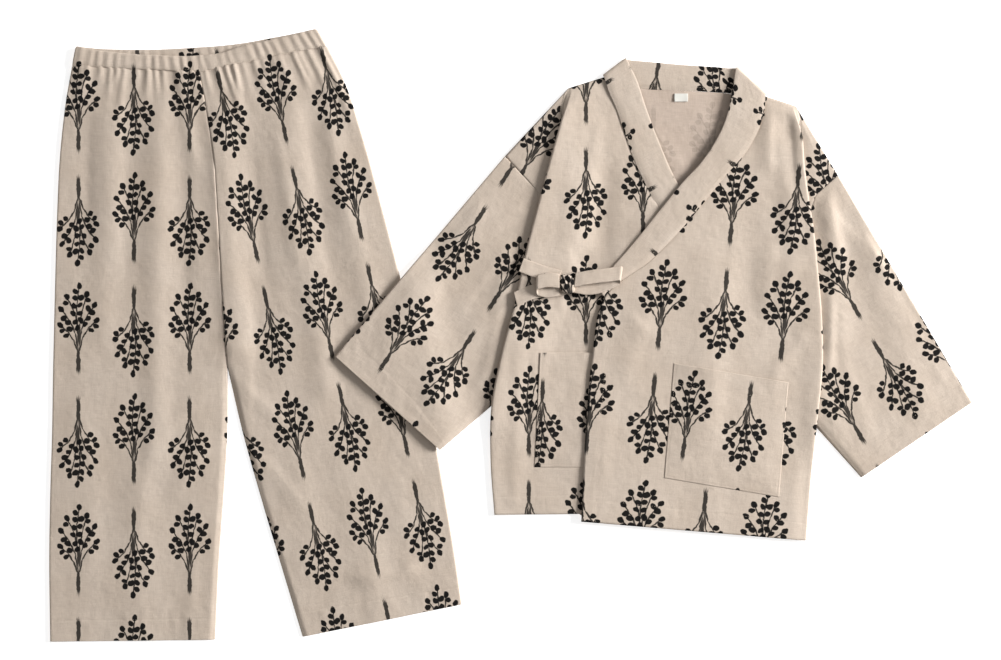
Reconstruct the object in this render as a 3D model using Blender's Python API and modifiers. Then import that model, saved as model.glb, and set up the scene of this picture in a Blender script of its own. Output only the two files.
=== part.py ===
"""Kimono pajama set of printed cotton, a child's size of about 120, laid out flat and seen from above.

The set is a wrap jacket, tied at the wearer's right side, and elastic-waist trousers. The jacket's
right sleeve lies on the trousers' left leg. +Z is up, and the cloth rests on z = 0.

Tables and sizes are in millimetres and become metres where a mesh is placed. A garment has its own
plan: x runs to the viewer's right and down runs towards the hem, both from the garment's datum.
"Right" and "left" are the wearer's, so the right side is at the viewer's left.
"""

import math
from collections import namedtuple

import bmesh
import bpy
from mathutils import Vector

MM = 0.001

# Cloth
WALL = 1.2
HALF = WALL / 2
BAND_WALL = 2.4
SEAM_GAP = 0.4
TURN_STEPS = 4

# Heights of the middle of the wall above the surface that the set lies on
FLOOR_LEVEL = HALF
SEAM_LEVEL = WALL + SEAM_GAP + HALF
TROUSER_FRONT_LEVEL = 3.2
SLEEVE_FRONT_LEVEL = 3.0

# Where each garment's datum lies. The trousers' is the top of the centre front seam, and the
# jacket's is the middle of the back neck seam.
Datum = namedtuple("Datum", "x y")
TROUSERS_AT = Datum(-326.0, 276.7)
JACKET_AT = Datum(181.0, 257.7)

Place = namedtuple("Place", "x down")
Ridge = namedtuple("Ridge", "x down to_x to_down width height")

# Trousers: one row for each section of a leg, from the waist seam to the hem. The inner edge is
# the centre front seam down to the crotch, and the inseam below it.
Section = namedtuple("Section", "inner_x inner_down outer_x outer_down")
CROTCH = 5
RIGHT_LEG = (
    Section(0, 1, -134, -5),
    Section(7, 40, -141, 35),
    Section(15, 90, -147, 92),
    Section(19, 150, -150, 158),
    Section(23, 218, -152, 229),
    Section(29, 309, -154, 315),
    Section(29, 376, -155, 378),
    Section(25, 444, -157, 446),
    Section(20, 512, -158, 515),
    Section(16, 596, -157, 598),
)
LEFT_LEG = (
    Section(0, 1, 134, -26),
    Section(7, 40, 154, 16),
    Section(15, 90, 172, 72),
    Section(19, 150, 190, 138),
    Section(23, 218, 210, 215),
    Section(29, 309, 231, 308),
    Section(45, 378, 244, 371),
    Section(64, 446, 255, 433),
    Section(83, 510, 266, 497),
    Section(108, 593, 275, 559),
)
LEG_GATHERED_ROWS = (0, 0.25, 0.55, 0.95)
LEG_PLAIN_ROWS = (1.5, 2, 2.5, 3, 3.6, 4.2, 4.6, CROTCH, 5.4, 6, 6.6, 7.2, 7.8, 8.4, 9)
GATHERED_DEPTH = 1.3
CLOSING_DEPTH = 0.8
LEG_BACK_COLUMNS = 5
LEG_EDGE_RUN = 16
INSEAM_RUN = 5
GATHERS_PER_LEG = 13
GATHER_HEIGHT = 1.1
WAIST_LIFT = 1.6
WAIST_LIFT_DOWN = 45
TROUSER_RIDGES = (
    Ridge(-95, 50, -100, 270, 15, 1.7),
    Ridge(-42, 50, -47, 400, 14, 2.1),
    Ridge(24, 50, 40, 290, 13, 2.0),
    Ridge(92, 50, 132, 330, 15, 2.1),
    Ridge(140, 60, 178, 250, 13, 1.7),
    Ridge(-60, 430, -64, 590, 20, 1.2),
    Ridge(150, 400, 190, 570, 20, 1.2),
)

# Waist casing: its top edges, of the front and of the back, which shows above the front
CASING_FRONT_TOP = (
    Place(-130, -26),
    Place(-109, -22),
    Place(-72, -18),
    Place(-27, -16),
    Place(-8, -16),
    Place(22, -19),
    Place(49, -27),
    Place(87, -35),
    Place(123, -44),
)
CASING_BACK_TOP = (
    Place(-130, -26),
    Place(-100, -23.5),
    Place(-53, -23),
    Place(-16, -24.5),
    Place(37, -28.5),
    Place(87, -37),
    Place(123, -44),
)
CASING_FRONT_LEVEL = 5.9
CASING_BACK_LEVEL = 1.32
CASING_GATHERS = 2 * GATHERS_PER_LEG
CASING_GATHER_HEIGHT = 0.8
CASING_BULGE = 0.5
CASING_SEAM_GAP = 0.7

# Jacket fronts: one row for each section, from the shoulder to the hem. The inner edge is the
# neckband's seam and then the front edge, and the outer one is the fold over the sleeve and then
# the side seam. The band columns are the neckband's free edge, down to where the band ends.
Front = namedtuple("Front", "inner_x inner_down outer_x outer_down")
RIGHT_FRONT = (
    Front(-83, -13, -118, -2),
    Front(-77, 5, -123, 15),
    Front(-69, 23, -129, 36),
    Front(-55, 65, -141, 79),
    Front(-33, 112, -153, 124),
    Front(-3, 161, -165, 170),
    Front(30, 200, -177, 226),
    Front(72, 226, -190, 275),
    Front(92, 284, -201, 331),
    Front(102, 368, -202, 389),
    Front(107, 443, -198, 446),
)
RIGHT_BAND_FREE = (
    Place(-59, -31),
    Place(-48, -8),
    Place(-40, 16),
    Place(-27, 51),
    Place(-6, 98),
    Place(22, 139),
    Place(52, 174),
    Place(85, 206),
)
LEFT_FRONT = (
    Front(86, 7, 116, 17),
    Front(85, 22, 120, 29),
    Front(78, 44, 125, 50),
    Front(64, 68, 127, 79),
    Front(43, 92, 131, 110),
    Front(19, 122, 137, 149),
    Front(-7, 152, 141, 189),
    Front(-35, 180, 145, 236),
    Front(-83, 219, 146, 289),
    Front(-96, 284, 140, 352),
    Front(-103, 368, 134, 410),
    Front(-107, 453, 129, 473),
)
LEFT_BAND_FREE = (
    Place(55, -22),
    Place(51, 2),
    Place(46, 26),
    Place(36, 50),
    Place(19, 76),
    Place(-3, 100),
    Place(-29, 132),
    Place(-54, 163),
    Place(-92, 206),
)

# The fold over each sleeve, one row for each row of the front. Heights are those of the front,
# of its edge, of the layer turned under and of the drop shoulder, and fold is how far the layer
# is turned under, where there is a fold at all.
Fold = namedtuple("Fold", "base edge under drop width folded")
Side = namedtuple("Side", "rows folds row_numbers armhole back_row_numbers")
RIGHT_FOLD = (
    Fold(2.4, 2.2, 2.2, 2.2, 0, 0),
    Fold(2.9, 6.4, 4.7, 3.0, 0, 0),
    Fold(3.1, 6.8, 4.9, 3.0, 6, 1),
    Fold(3.1, 6.8, 4.9, 3.0, 18, 1),
    Fold(3.1, 6.8, 4.9, 3.0, 26, 1),
    Fold(3.1, 6.8, 4.9, 3.0, 30, 1),
    Fold(3.1, 6.8, 4.9, 3.0, 28, 1),
    Fold(3.1, 6.8, 4.9, 3.0, 20, 1),
    Fold(3.1, 6.4, 4.7, 3.0, 8, 1),
    Fold(3.1, 4.3, SEAM_LEVEL, 2.2, 4, 1),
    Fold(3.1, 4.2, SEAM_LEVEL, 2.2, 4, 1),
)
LEFT_FOLD = (
    Fold(2.6, 2.2, 2.2, 2.2, 0, 0),
    Fold(3.6, 6.4, 4.7, 3.0, 0, 0),
    Fold(4.8, 6.8, 4.9, 3.0, 6, 1),
    Fold(5.8, 7.0, 5.0, 3.0, 12, 1),
    Fold(6.2, 7.0, 5.0, 3.0, 18, 1),
    Fold(6.4, 7.0, 5.0, 3.0, 24, 1),
    Fold(6.4, 7.0, 5.0, 3.0, 28, 1),
    Fold(6.4, 7.0, 5.0, 3.0, 26, 1),
    Fold(6.4, 7.0, 5.0, 3.0, 18, 1),
    Fold(6.4, 6.8, 4.9, 3.0, 8, 1),
    Fold(6.4, 4.6, SEAM_LEVEL, 2.2, 4, 1),
    Fold(6.2, 4.4, SEAM_LEVEL, 2.2, 4, 1),
)
FLAT_FOLD = (2.6, 1.6, 0.8, -0.2, -1.2, -2.4)
FOLD_START_STEP = 0.2
SHOULDER_RUN = 40
FOLD_EDGE_RUN = 14
FOLD_SHOULDER_WIDTH = 8
FOLD_SLOPE_WIDTH = 42
RIGHT_FRONT_ROWS = (0, 0.5, 1, 2, 2.5, 3, 3.5, 4, 4.5, 5, 5.5, 6, 6.5, 7, 7.5, 8, 8.5, 9, 9.5, 10)
LEFT_FRONT_ROWS = (0, 0.5, 1, 2, 2.5, 3, 3.5, 4, 4.5, 5, 5.5, 6, 6.5, 7, 7.5, 8, 8.5, 9, 9.6, 10.3, 11)
DROP_SHOULDER_ROWS = 5
FRONT_COLUMNS = 10
DROP_COLUMNS = 3
JACKET_RIDGES = (
    Ridge(-95, 40, -112, 150, 15, 1.6),
    Ridge(-170, 270, -178, 430, 9, 0.9),
    Ridge(106, 60, 112, 150, 10, 1.6),
    Ridge(30, 190, 14, 350, 20, 1.2),
    Ridge(124, 262, 96, 296, 9, 1.2),
)

# Armholes, from the top of the sleeve down. On the front the seam runs on under the fold, and on
# the back it follows the back's own edge.
RIGHT_ARMHOLE_FRONT = (Place(-187, 70), Place(-152, 108), Place(-150, 165), Place(-172, 307))
RIGHT_CUFF = (Place(-365, 280), Place(-255, 378))
LEFT_ARMHOLE_FRONT = (Place(162.5, 90), Place(139, 111), Place(124, 160), Place(118, 330))
LEFT_CUFF = (Place(303, 328), Place(187, 407))
RIGHT_ARMHOLE_BACK_ROWS = (4.6, 5.6, 6.8, 8)
LEFT_ARMHOLE_BACK_ROWS = (4.9, 6.2, 7.6, 9)
SLEEVE_ROWS = 12
SLEEVE_FRONT_COLUMNS = 9
SLEEVE_EDGE_RUN = 18
UNDERARM_RUN = 6
RIGHT_SLEEVE_RIDGES = (
    Ridge(-215, 135, -310, 262, 17, 1.5),
    Ridge(-190, 210, -262, 318, 16, 1.3),
)
LEFT_SLEEVE_RIDGES = (
    Ridge(152, 140, 166, 262, 12, 1.8),
    Ridge(196, 170, 252, 330, 17, 1.5),
)
# The right sleeve is carried by the trousers' left leg: its outer edge, and the climb onto it
LEG_LIFT = 6.4
LEG_LIFT_RUN = 44
LEG_CLEARANCE = 5

# The back's hem lies behind each front's: where it crosses from the right one to the left one
BACK_HEM_STEP = (Place(-112, 443), Place(-100, 452))
BACK_MIDDLE = Place(0, 200)
BACK_INSET = 0.6

# Back neck: the neckband's seam and its free edge, from the right shoulder to the left one
BACK_NECK_SEAM = (Place(-64, -4), Place(-40, -0.5), Place(0, 1), Place(37, 3), Place(65, 6))
BACK_NECK_FREE = (Place(-51, -30.5), Place(-33, -29), Place(0, -26), Place(32, -24), Place(48, -22.5))
BACK_BAND_LEVEL = BAND_WALL / 2
RIGHT_BAND_LEVELS = (5.2, 4.8, 4.0, 3.6, 3.6, 3.6, 3.6, 3.6)
LEFT_BAND_LEVELS = (5.2, 5.8, 6.6, 7.0, 7.0, 7.0, 7.0, 7.0, 7.0)
BAND_TURN_STEPS = 5
BAND_COLUMNS = 3
BAND_SEAM_GAP = 0.6

# Patch pockets: the top edge's two corners and the depth, and how high each lies on its front
Pocket = namedtuple("Pocket", "x down to_x to_down depth lean")
POCKET_WALL = 1.0
POCKET_CLEARANCE = 0.4
RIGHT_POCKET = Pocket(-150, 276, -29, 276, 120, -6)
LEFT_POCKET = Pocket(-10, 287, 110, 307, 120, -10)
POCKET_STEPS = 7

# Ties, 15 mm wide: the route of each ribbon as x, down and height, from the knot outwards
Bend = namedtuple("Bend", "x down height")
TIE_WIDTH = 14.5
TIE_WALL = 1.2
TIE_LEAN = 8
UPPER_TAIL_LEAN = -20
LOWER_TAIL_LEAN = 15
KNOT = Bend(-122, 204, 13.0)
KNOT_SIZE = (13, 18, 8)
KNOT_ROUND = 2.6
LOOP_END_STEPS = 5
# A loop: its lower strand from the knot out, then its upper strand from the knot out
RIGHT_LOOP = (
    (Bend(-114, 210, 10.6), Bend(-98, 212, 10.6), Bend(-82, 208, 10.8), Bend(-67, 199, 11.0)),
    (Bend(-114, 200, 14.8), Bend(-98, 197, 15.4), Bend(-82, 195, 15.4), Bend(-67, 193, 15.0)),
)
LEFT_LOOP = (
    (Bend(-130, 209, 11.6), Bend(-142, 211, 11.6), Bend(-152, 209, 11.6)),
    (Bend(-130, 201, 15.4), Bend(-142, 200, 15.6), Bend(-152, 202, 15.6)),
)
UPPER_TAIL = (Bend(-130, 197, 9.6), Bend(-145, 193, 9.4), Bend(-157, 189, 9.2), Bend(-170, 184, 9.0))
LOWER_TAIL = (Bend(-130, 213, 9.0), Bend(-145, 214, 9.0), Bend(-160, 218, 9.0), Bend(-176, 225, 8.8))
BAND_TIE = (Bend(-114, 200, 9.0), Bend(-106, 199, 9.0), Bend(-98, 198, 9.0))

# Size label, left plain
LABEL_SIZE = (15, 9.5, 1.0)
LABEL_AT = Place(-2, 9)


def clamp(value, low=0.0, high=1.0):
    return max(low, min(high, value))


def ease(value):
    """0 to 1, with no slope at either end."""
    t = clamp(value)
    return t * t * (3 - 2 * t)


def mix(a, b, share):
    return tuple(p + (q - p) * share for p, q in zip(a, b))


def curve_at(points, at):
    """The place at a row number, whole or not, on a smooth curve through all the rows."""
    last = len(points) - 1
    i = min(int(at), last - 1)
    t = at - i
    p1, p2 = points[i], points[i + 1]
    p0 = points[i - 1] if i > 0 else mix(p1, p2, -1)
    p3 = points[i + 2] if i + 2 <= last else mix(p2, p1, -1)
    return tuple(
        b + 0.5 * t * (c - a + t * (2 * a - 5 * b + 4 * c - d + t * (3 * (b - c) + d - a)))
        for a, b, c, d in zip(p0, p1, p2, p3)
    )


def line_at(points, at):
    """The same on straight lines between the rows."""
    i = min(int(at), len(points) - 2)
    return mix(points[i], points[i + 1], at - i)


def relief(ridges, x, down):
    """How high the soft folds stand at a place."""
    total = 0.0
    for ridge in ridges:
        along = Vector((ridge.to_x - ridge.x, ridge.to_down - ridge.down))
        to_place = Vector((x - ridge.x, down - ridge.down))
        share = clamp(to_place.dot(along) / along.length_squared)
        away = (to_place - along * share).length
        total += ridge.height * math.exp(-((away / ridge.width) ** 2))
    return total


def cloth_material(name, colour, roughness):
    material = bpy.data.materials.new(name)
    material.use_nodes = True
    shader = material.node_tree.nodes["Principled BSDF"]
    shader.inputs["Base Color"].default_value = (*colour, 1)
    shader.inputs["Roughness"].default_value = roughness
    shader.inputs["Metallic"].default_value = 0
    return material


def link(name, mesh, material, collection):
    obj = bpy.data.objects.new(name, mesh)
    mesh.materials.append(material)
    collection.objects.link(obj)
    return obj


def sheet(name, grid, datum, wall, material, collection, closed=False, cut=None):
    """A wall of cloth through rows of places (x, down, height), thick by the same on both sides.

    cut says which faces of the grid, by row and column, are left out. closed joins the last
    column to the first.
    """
    rows, columns = len(grid) - 1, len(grid[0]) - 1
    bm = bmesh.new()
    bmesh.ops.create_grid(bm, x_segments=columns, y_segments=rows, size=1)
    for vert in bm.verts:
        column = round((vert.co.x + 1) / 2 * columns)
        row = round((vert.co.y + 1) / 2 * rows)
        x, down, height = grid[row][column]
        vert.co = Vector((datum.x + x, datum.y - down, height)) * MM
    if cut:
        bm.verts.ensure_lookup_table()
        bm.faces.ensure_lookup_table()
        gone = [bm.faces[r * columns + c] for r in range(rows) for c in range(columns) if cut(r, c)]
        bmesh.ops.delete(bm, geom=gone, context="FACES")
    if closed:
        bmesh.ops.remove_doubles(bm, verts=bm.verts, dist=1e-5)
    bmesh.ops.recalc_face_normals(bm, faces=bm.faces)
    mesh = bpy.data.meshes.new(name)
    bm.to_mesh(mesh)
    bm.free()
    obj = link(name, mesh, material, collection)
    thick = obj.modifiers.new("Wall", "SOLIDIFY")
    thick.thickness = wall * MM
    thick.offset = 0
    thick.use_even_offset = True
    return obj


def drop_fine_columns(obj, first_row, rows, columns, every, until):
    """Dissolves the gathers' extra columns below the gathered rows of a leg."""
    bm = bmesh.new()
    bm.from_mesh(obj.data)
    bm.verts.ensure_lookup_table()
    width = columns + 1
    edges = []
    for row in range(first_row, rows):
        for column in range(1, until):
            if column % every:
                ends = (bm.verts[row * width + column], bm.verts[(row + 1) * width + column])
                edges.append(bm.edges.get(ends))
    bmesh.ops.dissolve_edges(bm, edges=edges, use_verts=True)
    bm.to_mesh(obj.data)
    bm.free()


def turn(level, other_level, edge, steps):
    """Steps round a fold's edge: how far each is inside the edge, and its height."""
    radius = (level - other_level) / 2
    angles = [math.pi * k / steps for k in range(steps + 1)]
    return [
        (edge + radius * (1 - math.sin(a)), (level + other_level) / 2 + radius * math.cos(a))
        for a in angles
    ]


def leg_edges(sections, at):
    """The inner and outer places of a leg at a row. The crotch is a corner of the inner edge."""
    inner = [s[:2] for s in sections]
    outer = [s[2:] for s in sections]
    if at <= CROTCH:
        return curve_at(inner[: CROTCH + 1], at), curve_at(outer, at)
    return curve_at(inner[CROTCH:], at - CROTCH), curve_at(outer, at)


def trouser_level(x, down):
    """The middle of the trousers' front above the surface, away from its edges."""
    lift = WAIST_LIFT * (1 - ease((down + 5) / WAIST_LIFT_DOWN))
    return TROUSER_FRONT_LEVEL + lift + relief(TROUSER_RIDGES, x, down)


def leg(name, sections, material, collection):
    """One leg, cut in one piece from the centre front round the side to the centre back."""
    fine = 2 * GATHERS_PER_LEG
    grid = []
    for at in LEG_GATHERED_ROWS + LEG_PLAIN_ROWS:
        inner, outer = leg_edges(sections, at)
        across = Vector(outer) - Vector(inner)
        length = across.length
        across.normalize()
        waist_share = 1 - ease((inner[1] + 5) / WAIST_LIFT_DOWN)
        edge_level = TROUSER_FRONT_LEVEL + WAIST_LIFT * waist_share
        round_edge = turn(edge_level, FLOOR_LEVEL, HALF, TURN_STEPS)
        gathered = GATHER_HEIGHT * (1 - ease(at / GATHERED_DEPTH))
        closing = ease((at - CROTCH) / CLOSING_DEPTH + 0.5)
        row = []
        start, stop = SEAM_GAP / 2, length - round_edge[0][0]
        for column in range(fine + 1):
            along = start + (stop - start) * column / fine
            x, down = Vector(inner) + across * along
            height = trouser_level(x, down)
            height = edge_level + (height - edge_level) * ease((length - along) / LEG_EDGE_RUN)
            if column:
                height += gathered * (1 if column % 2 else -1)
            seam_height = SEAM_LEVEL + (height - SEAM_LEVEL) * ease(along / INSEAM_RUN)
            height += (seam_height - height) * closing
            row.append((x, down, height))
        row[-1] = (*row[-1][:2], edge_level)
        for inside, height in round_edge[1:-1]:
            row.append((*(Vector(inner) + across * (length - inside)), height))
        for column in range(LEG_BACK_COLUMNS + 1):
            along = stop + (start - stop) * column / LEG_BACK_COLUMNS
            row.append((*(Vector(inner) + across * along), FLOOR_LEVEL))
        grid.append(row)
    obj = sheet(name, grid, TROUSERS_AT, WALL, material, collection)
    drop_fine_columns(obj, len(LEG_GATHERED_ROWS), len(grid) - 1, len(grid[0]) - 1, 2, fine)
    return obj


def waist_casing(material, collection):
    """The gathered casing that holds the elastic, a flattened ring whose top edge is open."""
    steps = 2 * CASING_GATHERS
    corners = (Place(*RIGHT_LEG[0][2:]), Place(*RIGHT_LEG[0][:2]), Place(*LEFT_LEG[0][2:]))
    low = [(p.x, p.down - CASING_SEAM_GAP) for p in corners]

    def edge(points, share):
        return curve_at(points, share * (len(points) - 1))

    rows = []
    for share_up in (0, 0.5, 1):
        bulge = CASING_BULGE * math.sin(math.pi * share_up)
        front = [
            mix(line_at(low, 2 * k / steps), edge(CASING_FRONT_TOP, k / steps), share_up)
            for k in range(steps + 1)
        ]
        back = [
            mix(line_at(low, 2 * k / steps), edge(CASING_BACK_TOP, k / steps), share_up)
            for k in range(steps + 1)
        ]
        inset = turn(CASING_FRONT_LEVEL, CASING_BACK_LEVEL, BAND_WALL / 2, TURN_STEPS)
        first = inset[0][0]
        span = front[-1][0] - front[0][0]
        squeeze = (span - 2 * first) / span
        middle = (front[0][0] + front[-1][0]) / 2

        def squeezed(place):
            return middle + (place[0] - middle) * squeeze, place[1]

        row = []
        for k, place in enumerate(front):
            wave = CASING_GATHER_HEIGHT * (1 if k % 2 else -1) if 0 < k < steps else 0
            row.append((*squeezed(place), CASING_FRONT_LEVEL + wave + bulge))
        for inside, height in inset[1:-1]:
            row.append((front[-1][0] - inside, front[-1][1], height))
        for k, place in reversed(list(enumerate(back))):
            wave = CASING_GATHER_HEIGHT * (k % 2) if 0 < k < steps else 0
            row.append((*squeezed(place), CASING_BACK_LEVEL + wave))
        for inside, height in reversed(inset[1:-1]):
            row.append((front[0][0] + inside, front[0][1], height))
        row.append(row[0])
        rows.append(row)
    return sheet("waist_casing", rows, TROUSERS_AT, BAND_WALL, material, collection, closed=True)


def front_edges(rows, at):
    return curve_at([r[:2] for r in rows], at), curve_at([r[2:] for r in rows], at)


def fold_profile(fold):
    """The fold over the sleeve: how far each of its six places is inside its edge, and its height."""
    edge_radius = (fold.edge - fold.under) / 2
    hidden_radius = (fold.under - fold.drop) / 2
    folded = (
        edge_radius + HALF,
        HALF,
        edge_radius + HALF,
        fold.width,
        fold.width + hidden_radius,
        fold.width,
    )
    inside = [flat + (there - flat) * fold.folded for flat, there in zip(FLAT_FOLD, folded)]
    step = FOLD_START_STEP * (1 - fold.folded)
    heights = (
        fold.edge,
        (fold.edge + fold.under) / 2,
        fold.under + step,
        fold.under - step,
        (fold.under + fold.drop) / 2,
        fold.drop,
    )
    return inside, heights


def front_height(fold, x, down, inside):
    """The middle of a jacket front, as far inside its fold or side edge as given."""
    slope = ease((inside - fold.width - FOLD_SHOULDER_WIDTH) / FOLD_SLOPE_WIDTH)
    folds = relief(JACKET_RIDGES, x, down) * ease(down / SHOULDER_RUN)
    return fold.edge + (fold.base - fold.edge) * slope + folds * ease(inside / FOLD_EDGE_RUN)


def front(name, side, material, collection):
    """A jacket front. Its cloth turns under itself along the fold and comes out again as the
    drop shoulder, which ends at the armhole seam."""
    grid = []
    for at in side.row_numbers:
        inner, outer = front_edges(side.rows, at)
        fold = Fold(*line_at(side.folds, at))
        inside, heights = fold_profile(fold)
        across = Vector(outer) - Vector(inner)
        length = across.length
        across.normalize()
        row = []
        stop = length - inside[0]
        for column in range(FRONT_COLUMNS):
            along = SEAM_GAP / 2 + (stop - SEAM_GAP / 2) * column / FRONT_COLUMNS
            x, down = Vector(inner) + across * along
            row.append((x, down, front_height(fold, x, down, length - along)))
        for step, height in zip(inside, heights):
            row.append((*(Vector(inner) + across * (length - step)), height))
        seam = Vector(line_at(side.armhole, min(2.0, 2 * at / DROP_SHOULDER_ROWS)))
        start = Vector(row[-1][:2])
        seam += (start - seam).normalized() * SEAM_GAP
        for column in range(1, DROP_COLUMNS + 1):
            share = column / DROP_COLUMNS
            row.append((*start.lerp(seam, share), heights[-1]))
        grid.append(row)
    drop_rows = sum(at < DROP_SHOULDER_ROWS for at in side.row_numbers)
    hidden_turn = FRONT_COLUMNS + 3

    def cut(row, column):
        return row >= drop_rows and column >= hidden_turn

    return sheet(name, grid, JACKET_AT, WALL, material, collection, cut=cut)


def leg_lift(x, down):
    """How far the right sleeve is lifted by the trousers' left leg, in the jacket's plan."""
    on_trousers = JACKET_AT.y - down - TROUSERS_AT.y
    rows = [s[2:] for s in LEFT_LEG]
    nearest = min(range(1, len(rows) - 1), key=lambda i: abs(rows[i][1] + on_trousers))
    edge_x = rows[nearest][0]
    slope = (rows[nearest + 1][0] - rows[nearest][0]) / (rows[nearest + 1][1] - rows[nearest][1])
    edge_x += slope * (-on_trousers - rows[nearest][1])
    past = x + JACKET_AT.x - TROUSERS_AT.x - edge_x
    return LEG_LIFT * (1 - ease((past - LEG_CLEARANCE) / LEG_LIFT_RUN))


def no_lift(_x, _down):
    return 0.0


def armhole_back(side):
    """The back's armhole edge: the seam on the drop shoulder, then the edge under the fold."""
    return [*side.armhole[:2]] + [front_edges(side.rows, at)[1] for at in side.back_row_numbers]


def sleeve(name, side, cuff, ridges, lift, material, collection):
    """A sleeve laid flat, folded along its top and sewn along its underside."""
    armhole = side.armhole
    back_edge = armhole_back(side)
    inset = turn(SLEEVE_FRONT_LEVEL, FLOOR_LEVEL, HALF, TURN_STEPS)
    last = len(back_edge) - 1
    grid = []
    for step in range(SLEEVE_ROWS + 1):
        share = step / SLEEVE_ROWS

        def front_place(part):
            return Vector(mix(line_at(armhole, part * 3), mix(*cuff, part), share))

        def back_place(k):
            part = k / last
            outward = Vector(cuff[0]) - Vector(armhole[0])
            clear = outward.normalized() * (2 * SEAM_GAP)
            return Vector(mix(Vector(back_edge[k]) + clear, mix(*cuff, part), share))

        top = front_place(0)
        across = (front_place(1) - top).normalized()
        length = (front_place(1) - top).length
        row = []
        for column in range(SLEEVE_FRONT_COLUMNS + 1):
            part = 1 - column / SLEEVE_FRONT_COLUMNS
            place = front_place(part)
            if column == SLEEVE_FRONT_COLUMNS:
                place = top + across * inset[0][0]
            x, down = place
            away = part * length
            height = SLEEVE_FRONT_LEVEL + relief(ridges, x, down) * ease(away / SLEEVE_EDGE_RUN)
            height += (SEAM_LEVEL - height) * (1 - ease((1 - part) * length / UNDERARM_RUN))
            row.append((x, down, height + lift(x, down)))
        for inside, height in inset[1:-1]:
            x, down = top + across * inside
            row.append((x, down, height + lift(x, down)))
        for k in range(last + 1):
            place = back_place(k) if k else top + across * inset[0][0]
            x, down = place
            row.append((x, down, FLOOR_LEVEL + lift(x, down)))
        grid.append(row)
    return sheet(name, grid, JACKET_AT, WALL, material, collection)


def jacket_back(right_side, left_side, material, collection):
    """The back, flat on the surface: a filled outline of half its thickness each way."""
    right = armhole_back(right_side) + [row[2:] for row in RIGHT_FRONT[-2:]] + [BACK_HEM_STEP[0]]
    left = armhole_back(left_side) + [row[2:] for row in LEFT_FRONT[-2:]] + [BACK_HEM_STEP[1]]
    right_shoulder = RIGHT_FRONT[0]
    left_shoulder = LEFT_FRONT[0]
    neck = [right_shoulder[:2], *BACK_NECK_SEAM, left_shoulder[:2]]
    outline = [right_shoulder[2:]]
    outline += [(x, down + SEAM_GAP) for x, down in neck]
    outline += [left_shoulder[2:], *left, *reversed(right)]
    curve = bpy.data.curves.new("jacket_back", "CURVE")
    curve.dimensions = "2D"
    curve.fill_mode = "BOTH"
    curve.extrude = HALF * MM
    spline = curve.splines.new("POLY")
    spline.points.add(len(outline) - 1)
    for point, place in zip(spline.points, outline):
        to_middle = (Vector(BACK_MIDDLE) - Vector(place)).normalized() * BACK_INSET
        x, down = Vector(place) + to_middle
        point.co = ((JACKET_AT.x + x) * MM, (JACKET_AT.y - down) * MM, 0, 1)
    spline.use_cyclic_u = True
    obj = bpy.data.objects.new("jacket_back", curve)
    obj.location.z = FLOOR_LEVEL * MM
    curve.materials.append(material)
    collection.objects.link(obj)
    return obj


def band_row(seam, free, level, folds_share):
    """Places across the neckband, from its seam to its free edge."""
    across = Vector(free) - Vector(seam)
    start = across.normalized() * BAND_SEAM_GAP
    row = []
    for column in range(BAND_COLUMNS + 1):
        share = column / BAND_COLUMNS
        x, down = Vector(seam) + start + (across - start) * share
        folds = relief(JACKET_RIDGES, x, down) * ease(down / SHOULDER_RUN)
        row.append((x, down, level + folds_share * folds))
    return row


def shoulder_turn(seam, free, outward, level):
    """Rows of the neckband round its fold at a shoulder, from the front's height to the back's."""
    rows = []
    for inside, height in turn(level, BACK_BAND_LEVEL, 0, BAND_TURN_STEPS)[1:-1]:
        radius = (level - BACK_BAND_LEVEL) / 2
        push = Vector(outward) * (radius - inside)
        rows.append(band_row(Vector(seam) + push, Vector(free) + push, height, 0))
    return rows


def neckband(material, collection):
    """The band round the neck, down both fronts, folded at each shoulder onto the back neck."""
    grid = []
    right_rows = [at for at in RIGHT_FRONT_ROWS if at <= len(RIGHT_BAND_FREE) - 1]
    for at in reversed(right_rows):
        seam = front_edges(RIGHT_FRONT, at)[0]
        free = curve_at(RIGHT_BAND_FREE, at)
        grid.append(band_row(seam, free, line_at([(z,) for z in RIGHT_BAND_LEVELS], at)[0], 1))
    grid += shoulder_turn(RIGHT_FRONT[0][:2], RIGHT_BAND_FREE[0], (-0.45, -0.89), RIGHT_BAND_LEVELS[0])
    for seam, free in zip(BACK_NECK_SEAM, BACK_NECK_FREE):
        grid.append(band_row(seam, free, BACK_BAND_LEVEL, 0))
    turned = shoulder_turn(LEFT_FRONT[0][:2], LEFT_BAND_FREE[0], (0.55, -0.83), LEFT_BAND_LEVELS[0])
    grid += reversed(turned)
    left_rows = [at for at in LEFT_FRONT_ROWS if at <= len(LEFT_BAND_FREE) - 1]
    for at in left_rows:
        seam = front_edges(LEFT_FRONT, at)[0]
        free = curve_at(LEFT_BAND_FREE, at)
        grid.append(band_row(seam, free, line_at([(z,) for z in LEFT_BAND_LEVELS], at)[0], 1))
    return sheet("neckband", grid, JACKET_AT, BAND_WALL, material, collection)


def nearest_row(rows, down):
    """The row number of a front, to a fiftieth, whose outer edge is that far down."""
    last = len(rows) - 1
    step = 0
    while step < last * 50 and front_edges(rows, step / 50)[1][1] < down:
        step += 1
    return step / 50


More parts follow.
